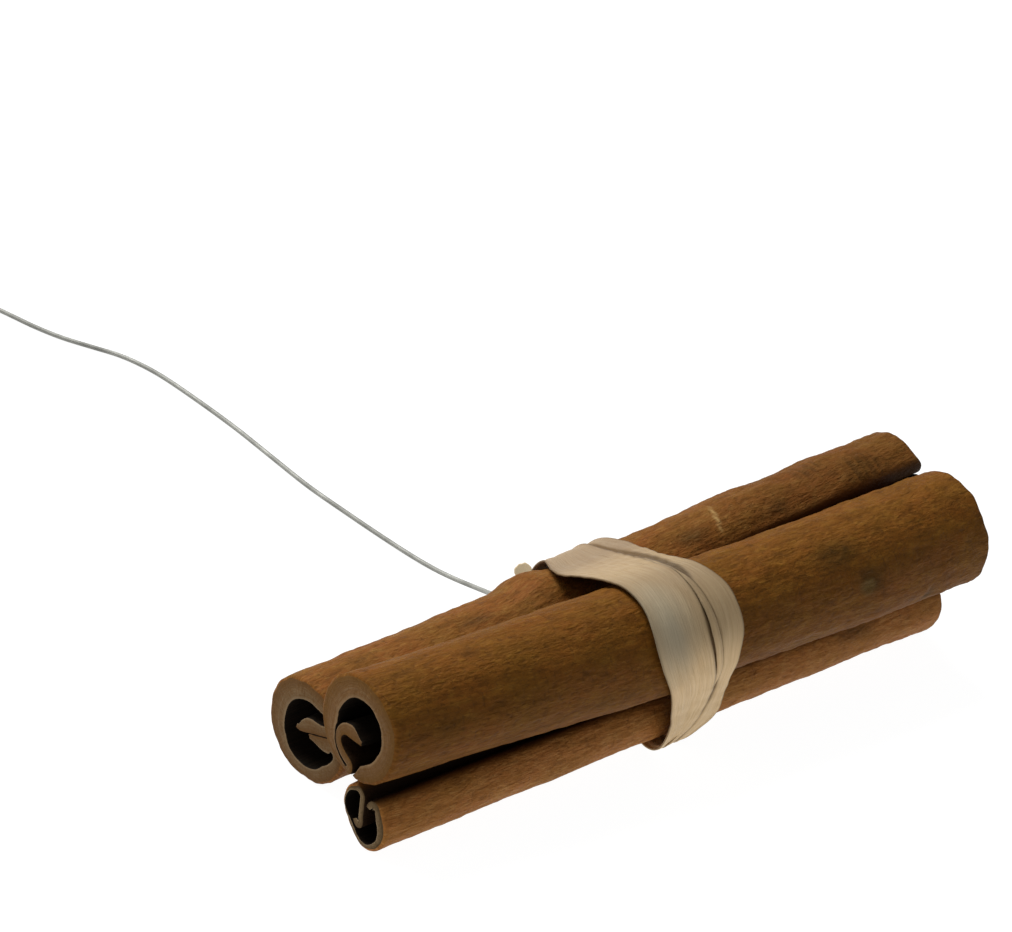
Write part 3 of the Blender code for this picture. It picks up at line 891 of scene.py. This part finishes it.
def outer_bark(name):
    tones = BARK_TONES[name]
    material, tree, shader = new_material(name + "_outer_bark", 0.68, gloss=BARK_GLOSS)
    sheet = read_value(tree, "sheet", "Vector")
    fibres, grain, mottle, patches, clumps, cracks = place_groups(
        tree, sheet, (fibre_group, 1.7), (grain_group, 3.4), (mottle_group, 0.38),
        (mottle_group, 0.9), (mottle_group, 2.6), (crack_group, 1.6))
    colour = mix_colour(tree, mottle, tones["mid"], tones["red"])
    for source, low, high, share, tone in (
            (patches, 0.55, 1.0, 0.35, "pale"), (fibres, 0.75, 0.0, 0.45, "dark"),
            (clumps, 0.50, 0.0, 0.55, "dark"), (grain, 0.60, 1.0, 0.45, "pale"),
            (patches, 0.35, 0.0, 0.50, "dark"), (cracks, 0.0, 1.0, 0.40, "dark")):
        colour = tint(tree, colour, source, low, high, share, tones[tone])
    colour = add_marks(tree, colour, grain, clumps)
    colour = tint(tree, colour, split_vector(tree, sheet)["Y"], *tones["far"], tones["dark"])
    join(tree, colour, shader.inputs["Base Color"])
    join(tree, stretch(tree, fibres, 0.0, 1.0, 0.78, 0.58), shader.inputs["Roughness"])
    height = calculate(tree, "MULTIPLY", grain, 0.5)
    for source, share in ((clumps, 0.8), (fibres, 0.3), (cracks, -0.4)):
        height = calculate(tree, "ADD", height, calculate(tree, "MULTIPLY", source, share))
    add_bump(tree, shader, height, 0.10, 0.9)
    return material


# %% [markdown]
# ## Inner bark and cut rim
# Inside the roll the bark is smooth and dark brown, painted almost black as painted
# shade for the deep hollow. The cut is paler and greyer than the outside, with rings
# that follow the wall and a thin pale one round the hollow: they read the depth
# through the wall, which runs from 0 on the outside to 1 on the inside.

# %% Inner bark and rim materials
# Inner bark, dark brown painted almost black: painted shade for the hollows.
INNER_SHADE_DARK = (0.003, 0.002, 0.0010)
INNER_SHADE_BROWN = (0.014, 0.008, 0.004)
# Outer skin, body of the wall, and the thin pale ring round the hollow.
RIM_TONES = {
    "stick_front": ((0.120, 0.055, 0.012), (0.142, 0.072, 0.027), (0.240, 0.155, 0.080)),
    "stick_back": ((0.115, 0.054, 0.016), (0.140, 0.080, 0.034), (0.230, 0.160, 0.090)),
    "stick_lower": ((0.085, 0.052, 0.022), (0.160, 0.105, 0.050), (0.340, 0.245, 0.145)),
}


def inner_bark(name):
    material, tree, shader = new_material(name + "_inner_bark", 0.75, gloss=BARK_GLOSS)
    fibres = place_groups(tree, read_value(tree, "sheet", "Vector"), (fibre_group, 2.2))[0]
    # Near-black inside of the roll: painted shade.
    join(tree, mix_colour(tree, fibres, INNER_SHADE_DARK, INNER_SHADE_BROWN), shader.inputs["Base Color"])
    add_bump(tree, shader, fibres, 0.06, 0.6)
    return material


def cut_rim(name):
    skin, body, pale = RIM_TONES[name]
    material, tree, shader = new_material(name + "_cut_rim", 0.82, gloss=BARK_GLOSS)
    sheet = read_value(tree, "sheet", "Vector")
    layers, specks = place_groups(tree, sheet, (layer_group, 1.6), (mottle_group, 3.0))
    depth = split_vector(tree, sheet)["Z"]
    colour = tint(tree, body, layers, 0.45, 1.0, 0.40, pale)
    colour = tint(tree, colour, specks, 0.55, 0.0, 0.75, skin)
    colour = tint(tree, colour, depth, 0.80, 0.97, 0.70, pale)
    colour = tint(tree, colour, depth, 0.62, 0.12, 0.90, skin)
    join(tree, colour, shader.inputs["Base Color"])
    add_bump(tree, shader, calculate(tree, "ADD", layers, specks), 0.06, 0.7)
    return material


for name, item in quill_objects.items():
    for index, material in enumerate((outer_bark(name), inner_bark(name), cut_rim(name))):
        item.data.materials[index] = material
print("bark materials:", len(bpy.data.materials) - 1)

# %% [markdown]
# ## The raffia wrap
# The tie is two flat strips of raffia that lie side by side and overlap a little. They
# pull straight over the hollows between the quills. How far out a taut wrap lies in one
# direction follows from the quills alone: for every way that a straight edge can touch
# the bundle, the furthest quill holds it off, and the closest of these edges wins.
# That search is slow, so it is made once for a table, and the strips read the table.

# %% Table of the taut wrap
TIE_CENTRE_Y, TIE_CENTRE_Z = 3.3, 8.9
WRAP_SEARCH_DEG = 80.0
WRAP_STEP_DEG = 2.0
WRAP_X = np.linspace(-10.5, 6.0, 12)
WRAP_DEG = np.arange(0.0, 361.0, 2.5)


def wrap_distance(x, angle_deg):
    """How far from the tie's centre a taut wrap over the quills lies, in one direction."""
    best = math.inf
    for turn_deg in np.arange(-WRAP_SEARCH_DEG, WRAP_SEARCH_DEG, WRAP_STEP_DEG):
        normal_deg = angle_deg + turn_deg
        normal = math.radians(normal_deg)
        reach = 0.0
        for name, quill in QUILLS.items():
            t = (x - quill["near"][0]) / (quill["far"][0] - quill["near"][0])
            centre = quill_axis(quill, t)
            radius = quill_radius(name, quill, x, t, normal_deg)
            offset = (centre[1] - TIE_CENTRE_Y) * math.cos(normal)
            offset += (centre[2] - TIE_CENTRE_Z) * math.sin(normal)
            reach = max(reach, offset + radius)
        best = min(best, reach / math.cos(math.radians(turn_deg)))
    return best


wrap_table = np.array([[wrap_distance(x, angle_deg) for angle_deg in WRAP_DEG] for x in WRAP_X])


def read_wrap(x, angle_deg):
    """The wrap's distance between the table's entries."""
    column = np.array([np.interp(angle_deg % 360.0, WRAP_DEG, row) for row in wrap_table])
    return float(np.interp(x, WRAP_X, column))


print("wrap table:", wrap_table.shape, wrap_table.min().round(2), "to", wrap_table.max().round(2))

# %% [markdown]
# Each strip is given by stations round the bundle: a direction, the left and right
# edge, and how far it stands off. A grid is bent to them, its two ends are merged, and
# noise that is stretched along the strip pleats it. The left strip lies on the right
# one. The right strip is pressed in along that edge and beside the sliver that is
# made later, and the two dark grooves between the strips are these creases; their
# dark colour, and a thin dark band along each strip's edges, are painted shade.

# %% Strips of raffia
# Direction round the bundle, left edge, right edge, height above the quills.
LEFT_STRIP = (
    (-47.0, -3.0, 0.9, 0.22), (0.0, -4.0, 0.8, 0.55), (24.0, -5.0, 0.4, 0.75),
    (40.0, -7.2, -0.1, 0.45), (57.0, -8.0, -0.5, 0.38), (90.0, -8.3, -1.1, 0.44),
    (112.0, -8.5, -1.9, 0.48), (128.0, -8.9, -2.4, 0.50), (146.0, -9.0, -2.4, 0.50),
    (160.0, -7.8, -1.5, 0.52), (176.0, -5.8, 0.1, 0.56), (192.0, -4.3, 0.7, 0.66),
    (212.0, -3.0, 0.3, 1.00), (230.0, -2.3, -0.6, 0.90), (250.0, -1.9, 1.0, 0.24),
)
RIGHT_STRIP = (
    (-47.0, -1.6, 1.8, 0.12), (0.0, -0.6, 1.8, 0.40), (24.0, -0.9, 2.5, 0.62),
    (40.0, -1.3, 2.9, 0.34), (57.0, -1.7, 2.3, 0.26), (90.0, -2.3, 1.4, 0.30),
    (112.0, -3.1, 1.4, 0.34), (128.0, -3.6, 2.0, 0.35), (146.0, -3.6, 2.3, 0.35),
    (160.0, -2.7, 2.1, 0.36), (176.0, -1.0, 2.5, 0.40), (192.0, -0.5, 3.2, 0.50),
    (212.0, -0.7, 3.7, 0.85), (230.0, -1.4, 1.4, 0.95), (250.0, 0.2, 1.7, 0.12),
)
LOOP_STEPS = 300
STRIP_STEP = 0.20
STRIP_THICKNESS = 0.17
SEAM_MERGE = 0.01
# The pleats fade out next to the seam, so that both ends of the grid meet.
SEAM_FADE_DEG = 8.0
RAGGED_SIDES = 0.16
EDGE_LIFT = 0.07
# Direction and reach of three places: flat below, tucked in behind, and the top.
UNDER = (270.0, 46.0)
TUCK = (52.0, 36.0)
TOP = (80.0, 65.0)
FOLD_DEPTH = 0.16
GROOVE_WIDTH = 0.48
# How far the middle of the groove lies from the left strip, and how much further on top.
GROOVE_AWAY = 0.48
GROOVE_AWAY_ON_TOP = 0.66
EDGE_SHARE = 0.04
FIBRE_RADIUS = 10.0
TUCK_DEPTH = 0.35
# Direction round the bundle, middle of the sliver, half width.
SLIVER = ((106.0, -1.75, 0.05), (118.0, -1.75, 0.30), (132.0, -1.75, 0.42), (146.0, -1.45, 0.46),
          (158.0, -0.85, 0.42), (170.0, -0.10, 0.30), (182.0, 0.45, 0.05))


def read_stations(stations, angle_deg):
    """Edges and height of a strip between its stations."""
    ring = list(stations) + [(stations[0][0] + 360.0, *stations[0][1:])]
    angle = (angle_deg - ring[0][0]) % 360.0 + ring[0][0]
    count = len(stations)
    for index in range(count):
        start, end = ring[index], ring[index + 1]
        if start[0] <= angle <= end[0]:
            before = stations[(index - 1) % count]
            after = stations[(index + 2) % count]
            share = (angle - start[0]) / (end[0] - start[0])
            stops = np.array((before, start, end, after))
            return list(cubic(*stops[:, 1:], share))
    return ring[0][1:]


def pleat_height(seed, across, around):
    """Height of the pleats of a strip, in millimetres; around runs with the fibres."""
    broad = 0.15 * ripple(across, around, 2.6, 12.0, seed)
    folds = 0.050 * ripple(across, around, 1.0, 9.0, seed + 4.0)
    fibres = 0.016 * ripple(across, around, 0.30, 5.0, seed + 9.0)
    return broad + folds + fibres


def strip_point(x, angle_deg, height):
    distance = read_wrap(x, angle_deg) + height
    angle = math.radians(angle_deg)
    y = TIE_CENTRE_Y + distance * math.cos(angle)
    return place(x, y, TIE_CENTRE_Z + distance * math.sin(angle))


raffia_pieces = []


def keep_piece(item):
    """Smooths a piece of raffia and lets it stand for the tie."""
    item.data.shade_smooth()
    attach(item, "root")
    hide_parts("raffia_tie")
    raffia_pieces.append(item)
    print(item.name, "faces:", len(item.data.polygons))


def finish_strip(bm, name, thickness):
    """Turns a strip's mesh into a thick object."""
    bmesh.ops.remove_doubles(bm, verts=bm.verts, dist=SEAM_MERGE * MM)
    bmesh.ops.recalc_face_normals(bm, faces=bm.faces)
    item = mesh_object(name, bm)
    solidify = item.modifiers.new("strip_thickness", "SOLIDIFY")
    solidify.thickness = thickness * MM
    solidify.offset = 0.0
    apply_modifiers(item)
    keep_piece(item)


def read_sliver(angle_deg):
    """Middle and half width of the sliver in one direction."""
    stops = np.array(SLIVER)
    return [np.interp(angle_deg, stops[:, 0], stops[:, side]) for side in (1, 2)]


def groove_amount(x, angle_deg):
    """How deep the right strip is pressed in beside the left strip and the sliver."""
    on_top = bump_round(angle_deg, *TOP)
    gap = x - read_stations(LEFT_STRIP, angle_deg)[1] - GROOVE_AWAY - GROOVE_AWAY_ON_TOP * on_top
    beside_strip = bump(gap, GROOVE_WIDTH * (1.1 + 0.8 * on_top))
    if not SLIVER[0][0] <= angle_deg <= SLIVER[-1][0]:
        return beside_strip
    middle, half_width = read_sliver(angle_deg)
    beside_sliver = bump(x - middle - half_width - 0.10, 0.7 * GROOVE_WIDTH)
    return max(beside_strip, beside_sliver * min(1.0, half_width / 0.25))


def make_strip(name, stations, grooved, seed):
    widest = max(right - left for _, left, right, _ in stations)
    bm = bmesh.new()
    bmesh.ops.create_grid(bm, x_segments=LOOP_STEPS, y_segments=round(widest / STRIP_STEP), size=0.5)
    sheet = bm.verts.layers.float_vector.new("sheet")
    pressed = bm.verts.layers.float.new("pressed")
    for vertex in bm.verts:
        angle_deg = (vertex.co.x + 0.5) * 360.0
        share = vertex.co.y + 0.5
        left, right, height = read_stations(stations, angle_deg)
        across = share * widest
        around = math.radians(angle_deg) * FIBRE_RADIUS
        ragged = RAGGED_SIDES * ripple(across, around, 3.0, 2.6, seed + 17.0)
        x = left + (right - left) * share + ragged * abs(2.0 * share - 1.0)
        seam = min(1.0, min(angle_deg, 360.0 - angle_deg) / SEAM_FADE_DEG)
        pleats = pleat_height(seed, across, around) * seam
        from_side = min(share, 1.0 - share)
        edge_lift = EDGE_LIFT * bump(from_side, 0.10)
        under = bump_round(angle_deg, *UNDER)
        dent = groove_amount(x, angle_deg) if grooved else 0.0
        lifted = height + (pleats + edge_lift - FOLD_DEPTH * dent) * (1.0 - 0.75 * under)
        if not grooved:
            lifted -= TUCK_DEPTH * (1.0 - share) * bump_round(angle_deg, *TUCK)
        vertex.co = strip_point(x, angle_deg, lifted + STRIP_THICKNESS / 2.0)
        vertex[sheet] = (across, around, seed)
        # Darkened in the grooves and along the strip edges: painted shade.
        vertex[pressed] = max(min(1.0, 1.6 * dent), 0.8 * bump(from_side, EDGE_SHARE))
    finish_strip(bm, name, STRIP_THICKNESS)


make_strip("raffia_left_strip", LEFT_STRIP, False, 5.0)
make_strip("raffia_right_strip", RIGHT_STRIP, True, 23.0)

# %% [markdown]
# ## The loose sliver
# A narrow folded strand runs beside the groove over the front quill. It is a short
# grid between two stations, pointed at both ends and standing on its fold.

# %% Folded sliver
SLIVER_STEPS = 60
SLIVER_WIDTH_STEPS = 6
SLIVER_HEIGHT = 0.60
SLIVER_THICKNESS = 0.09
# Height of the fold, for each millimetre of half width.
SLIVER_FOLD = 0.478


def make_sliver():
    bm = bmesh.new()
    bmesh.ops.create_grid(bm, x_segments=SLIVER_STEPS, y_segments=SLIVER_WIDTH_STEPS, size=0.5)
    sheet = bm.verts.layers.float_vector.new("sheet")
    for vertex in bm.verts:
        angle_deg = SLIVER[0][0] + (vertex.co.x + 0.5) * (SLIVER[-1][0] - SLIVER[0][0])
        middle, half_width = read_sliver(angle_deg)
        side = vertex.co.y * 2.0
        fold = SLIVER_FOLD * half_width * (1.0 - abs(side))
        vertex.co = strip_point(middle + side * half_width, angle_deg, SLIVER_HEIGHT + fold)
        vertex[sheet] = (side, math.radians(angle_deg) * FIBRE_RADIUS, 51.0)
    finish_strip(bm, "raffia_sliver", SLIVER_THICKNESS)


make_sliver()

# %% [markdown]
# ## Knot and cut ends
# Behind the back quill the raffia is knotted. A knot is hard to see into, so a lumpy
# core with slanting pleats and one strand spun round its waist give all that shows.
# The cut ends are short ribbons that widen to a frayed tip.

# %% Knot
KNOT_CENTRE = (-3.2, 16.3, 8.5)
KNOT_RADII = (2.15, 1.05, 1.45)
WAIST_RADII = (0.98, 1.28)
WAIST_STEPS = 40


def make_knot_core():
    bm = bmesh.new()
    bmesh.ops.create_uvsphere(bm, u_segments=56, v_segments=34, radius=1.0)
    sheet = bm.verts.layers.float_vector.new("sheet")
    for vertex in bm.verts:
        x, y, z = vertex.co
        around = math.atan2(z, y)
        pinch = 1.0 - 0.30 * bump(x, 0.45)
        slanted = around + 0.9 * x
        pleats = 0.07 * math.sin(7.0 * slanted + 2.0 * noise.noise(vertex.co * 1.5))
        lumps = 0.10 * noise.noise(vertex.co * 2.2)
        swell = (1.0 + pleats * (1.0 - x * x) + lumps) * pinch
        vertex[sheet] = (7.0 * slanted / math.tau, 4.0 * x, 66.0)
        vertex.co = Vector((x * (1.0 + lumps), y * swell, z * swell))
    bmesh.ops.scale(bm, verts=bm.verts, vec=[radius * MM for radius in KNOT_RADII])
    bmesh.ops.translate(bm, verts=bm.verts, vec=place(*KNOT_CENTRE))
    return bm


def make_knot_waist():
    """A flattened strand spun once round the waist of the knot."""
    bm = bmesh.new()
    profile = bmesh.ops.create_circle(bm, segments=16, radius=1.0)["verts"]
    bmesh.ops.scale(bm, verts=profile, vec=(0.72 * MM, 0.26 * MM, 1.0))
    bmesh.ops.translate(bm, verts=profile, vec=(0.0, MM, 0.0))
    bmesh.ops.spin(bm, geom=bm.verts[:] + bm.edges[:], cent=(0.0, 0.0, 0.0), axis=(1.0, 0.0, 0.0),
                   angle=math.tau, steps=WAIST_STEPS, use_merge=True)
    bmesh.ops.recalc_face_normals(bm, faces=bm.faces)
    sheet = bm.verts.layers.float_vector.new("sheet")
    for vertex in bm.verts:
        around = math.atan2(vertex.co.z, vertex.co.y)
        reach = math.hypot(vertex.co.y, vertex.co.z) / MM
        pleats = 1.0 + 0.05 * noise.noise(Vector((vertex.co.x / MM * 5.0, around, 2.0)))
        lean = 0.35 * MM * math.sin(around)
        vertex[sheet] = (vertex.co.x / MM + reach, around * 1.3, 71.0)
        vertex.co = Vector((vertex.co.x + lean, vertex.co.y * WAIST_RADII[0] * pleats,
                            vertex.co.z * WAIST_RADII[1] * pleats))
    bmesh.ops.translate(bm, verts=bm.verts, vec=place(*KNOT_CENTRE))
    return bm


keep_piece(mesh_object("raffia_knot", make_knot_core()))
keep_piece(mesh_object("raffia_knot_waist", make_knot_waist()))

# %% Cut ends
# Start, tip, half width at the start and at the tip, and which way the ribbon faces.
TAILS = (
    ("raffia_tail_up", (-3.7, 16.1, 9.2), (-4.9, 16.1, 11.2), 0.60, 0.85, (0.55, 0.83, 0.0)),
    ("raffia_tail_down", (-2.9, 16.6, 7.7), (-1.5, 17.0, 3.9), 0.75, 1.20, (0.2, 0.98, 0.0)),
)
TAIL_ROWS = 26
TAIL_COLUMNS = 14
TAIL_THICKNESS = 0.16


def make_tail(name, start, tip, start_half, tip_half, facing, seed):
    base, end = place(*start), place(*tip)
    along = (end - base).normalized()
    outward = Vector(facing)
    outward = (outward - along * outward.dot(along)).normalized()
    sideways = along.cross(outward)
    bm = bmesh.new()
    bmesh.ops.create_grid(bm, x_segments=TAIL_COLUMNS, y_segments=TAIL_ROWS, size=0.5)
    sheet = bm.verts.layers.float_vector.new("sheet")
    for vertex in bm.verts:
        side = vertex.co.x * 2.0
        t = vertex.co.y + 0.5
        half = start_half + (tip_half - start_half) * t
        fray = 0.22 * noise.noise(Vector((side * 3.0, seed, 0.0))) * max(0.0, t - 0.6) / 0.4
        cup = 0.45 * half * (1.0 - side * side) + 0.04 * math.sin(5.0 * side + seed) * t
        rounding = 0.75 * tip_half * (1.0 - math.sqrt(max(0.0, 1.0 - side * side)))
        reach = (end - base).length * t + (fray - rounding * t) * MM
        vertex[sheet] = (side * 1.5 + seed, t * 4.0, seed)
        vertex.co = base + along * reach + sideways * side * half * MM + outward * cup * MM
    finish_strip(bm, name, TAIL_THICKNESS)


for index, tail in enumerate(TAILS):
    make_tail(*tail, 80.0 + index)

# %% [markdown]
# ## Raffia finish
# Raffia is a dried palm leaf: cream, a little glossy, with straight fibres that catch
# the light, and a greyish bruise on the wide strip. Painted shade darkens its creases,
# its top and its far side, and the thin tip carries a painted glow.

# %% Raffia material
# Fibres and the paler fibres between them, low on the bundle, and darker at its top as painted shade.
RAFFIA_LOW = ((0.590, 0.400, 0.205), (0.760, 0.560, 0.320))
RAFFIA_TOP_SHADE = ((0.190, 0.130, 0.072), (0.260, 0.192, 0.110))
RAFFIA_HEIGHTS = (13.2, 20.3)
RAFFIA_BROWN = (0.160, 0.090, 0.034)
# The part that faces away, behind the top, is painted darker: painted shade.
RAFFIA_FAR_SHADE = (0.170, 0.120, 0.082)
RAFFIA_DEPTHS = (3.0, 9.5)
RAFFIA_GREY = (0.385, 0.345, 0.250)
# Crease colours, darkest on top: painted shade.
CREASE_SHADE_LOW = (0.130, 0.070, 0.022)
CREASE_SHADE_TOP = (0.032, 0.017, 0.004)
BRUISE_PLACE = (-6.7, -5.0, 16.0)
BRUISE_SIZE = (3.0, 4.4, 4.8)
# The thin tip that stands up behind glows a little: painted light for the light that shines through
# it from the back.
THIN_TIP = "raffia_tail_up"
TIP_PAINTED_GLOW = 0.33
TIP_PAINTED_GLOW_COLOUR = (1.0, 0.85, 0.56)


def raffia_finish(name, glow):
    material, tree, shader = new_material(name, 0.55, gloss=0.15)
    shader.inputs["Emission Color"].default_value = (*TIP_PAINTED_GLOW_COLOUR, 1.0)
    shader.inputs["Emission Strength"].default_value = glow
    fibres, fine, mottle = place_groups(
        tree, read_value(tree, "sheet", "Vector"),
        (fibre_group, 3.2), (fibre_group, 9.0), (mottle_group, 0.45))
    where = add_node(tree, "ShaderNodeTexCoord").outputs["Object"]
    sides = split_vector(tree, where)
    height = stretch(tree, sides["Z"], *[level * MM for level in RAFFIA_HEIGHTS])
    low = mix_colour(tree, fibres, *RAFFIA_LOW)
    # Darker toward the top of the wrap: painted shade.
    colour = mix_colour(tree, height, low, mix_colour(tree, fibres, *RAFFIA_TOP_SHADE))
    depths = [place(0.0, level, 0.0)[1] for level in RAFFIA_DEPTHS]
    # Darker toward the back: painted shade.
    colour = tint(tree, colour, sides["Y"], *depths, 0.7, RAFFIA_FAR_SHADE)
    colour = tint(tree, colour, fine, 0.22, 0.0, 0.35, RAFFIA_BROWN)
    fibrous = stretch(tree, fine, 0.0, 1.0, 1.0, 0.65)
    # Creases, grooves and strip edges darkened, most on top: painted shade.
    creased = calculate(tree, "MULTIPLY", read_value(tree, "pressed"), fibrous)
    colour = mix_colour(tree, creased, colour, mix_colour(tree, height, CREASE_SHADE_LOW, CREASE_SHADE_TOP))
    colour = tint(tree, colour, mottle, 0.75, 1.0, 0.15, RAFFIA_BROWN)
    bruise_size = [size * MM for size in BRUISE_SIZE]
    settings = {"Location": place(*BRUISE_PLACE), "Scale": bruise_size}
    near_bruise = add_node(tree, "ShaderNodeMapping", settings, vector_type="TEXTURE")
    join(tree, where, near_bruise.inputs["Vector"])
    away = add_node(tree, "ShaderNodeVectorMath", operation="LENGTH")
    join(tree, near_bruise.outputs["Vector"], away.inputs[0])
    bruise = stretch(tree, away.outputs["Value"], 1.30, 0.20, 0.0, 0.8)
    bruise = calculate(tree, "MULTIPLY", bruise, stretch(tree, mottle, 0.0, 0.6, 0.7, 1.0))
    colour = mix_colour(tree, bruise, colour, RAFFIA_GREY)
    join(tree, colour, shader.inputs["Base Color"])
    join(tree, stretch(tree, fibres, 0.0, 1.0, 0.62, 0.42), shader.inputs["Roughness"])
    add_bump(tree, shader, calculate(tree, "ADD", fibres, fine), 0.05, 0.7)
    return material


raffia_material = raffia_finish("dried_raffia", 0.0)
# The tip's material glows a little: painted light.
tip_material = raffia_finish("raffia_tip_painted_glow", TIP_PAINTED_GLOW)
for item in raffia_pieces:
    item.data.materials.clear()
    item.data.materials.append(tip_material if item.name == THIN_TIP else raffia_material)

# %% [markdown]
# ## Floor and light
# The bundle lies on a white sweep that glows a little, as a light table does. That
# fills the undersides with soft light and leaves almost no shadow. A wide softbox
# above and behind, a weak one at the near end and a weak white surround do the rest.

# %% Floor and light
FLOOR_HALF = 3.0
FLOOR_GLOW = 0.97
SURROUND_LIGHT = 0.20
SURROUND_SEEN = 1.0

bm = bmesh.new()
bmesh.ops.create_grid(bm, x_segments=1, y_segments=1, size=FLOOR_HALF)
floor = mesh_object("studio_floor", bm)
floor_finish, tree, shader = new_material("white_sweep", 0.9, gloss=0.0)
shader.inputs["Base Color"].default_value = (0.12, 0.12, 0.12, 1.0)
shader.inputs["Emission Color"].default_value = (1.0, 1.0, 1.0, 1.0)
shader.inputs["Emission Strength"].default_value = FLOOR_GLOW
floor.data.materials.append(floor_finish)
floor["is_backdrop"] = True

LIGHTS = (
    # Name, place in metres, size, power in watts.
    ("softbox_overhead", (-0.10, 0.55, 0.75), 0.60, 13.0),
    ("softbox_near_end", (-0.60, 0.10, 0.45), 0.40, 0.5),
)
for name, spot, size, power in LIGHTS:
    lamp = bpy.data.lights.new(name, "AREA")
    lamp.size = size
    lamp.energy = power
    item = new_object(name, lamp)
    item.location = spot
    item.rotation_euler = (-Vector(spot)).to_track_quat("-Z", "Y").to_euler()

world = bpy.data.worlds.new("studio_surround")
world.use_nodes = True
surround = world.node_tree.nodes["Background"]
surround.inputs["Color"].default_value = (1.0, 1.0, 1.0, 1.0)
seen = add_node(world.node_tree, "ShaderNodeLightPath").outputs["Is Camera Ray"]
join(world.node_tree, stretch(world.node_tree, seen, 0.0, 1.0, SURROUND_LIGHT, SURROUND_SEEN),
     surround.inputs["Strength"])
bpy.context.scene.world = world
bpy.context.scene.view_settings.view_transform = "Standard"
print("lights:", len(LIGHTS))

# %% Size and finish
VISUAL_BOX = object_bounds()
visual_size = VISUAL_BOX[1] - VISUAL_BOX[0]
print("size of the dressed model, mm:", [round(side / MM, 1) for side in visual_size])
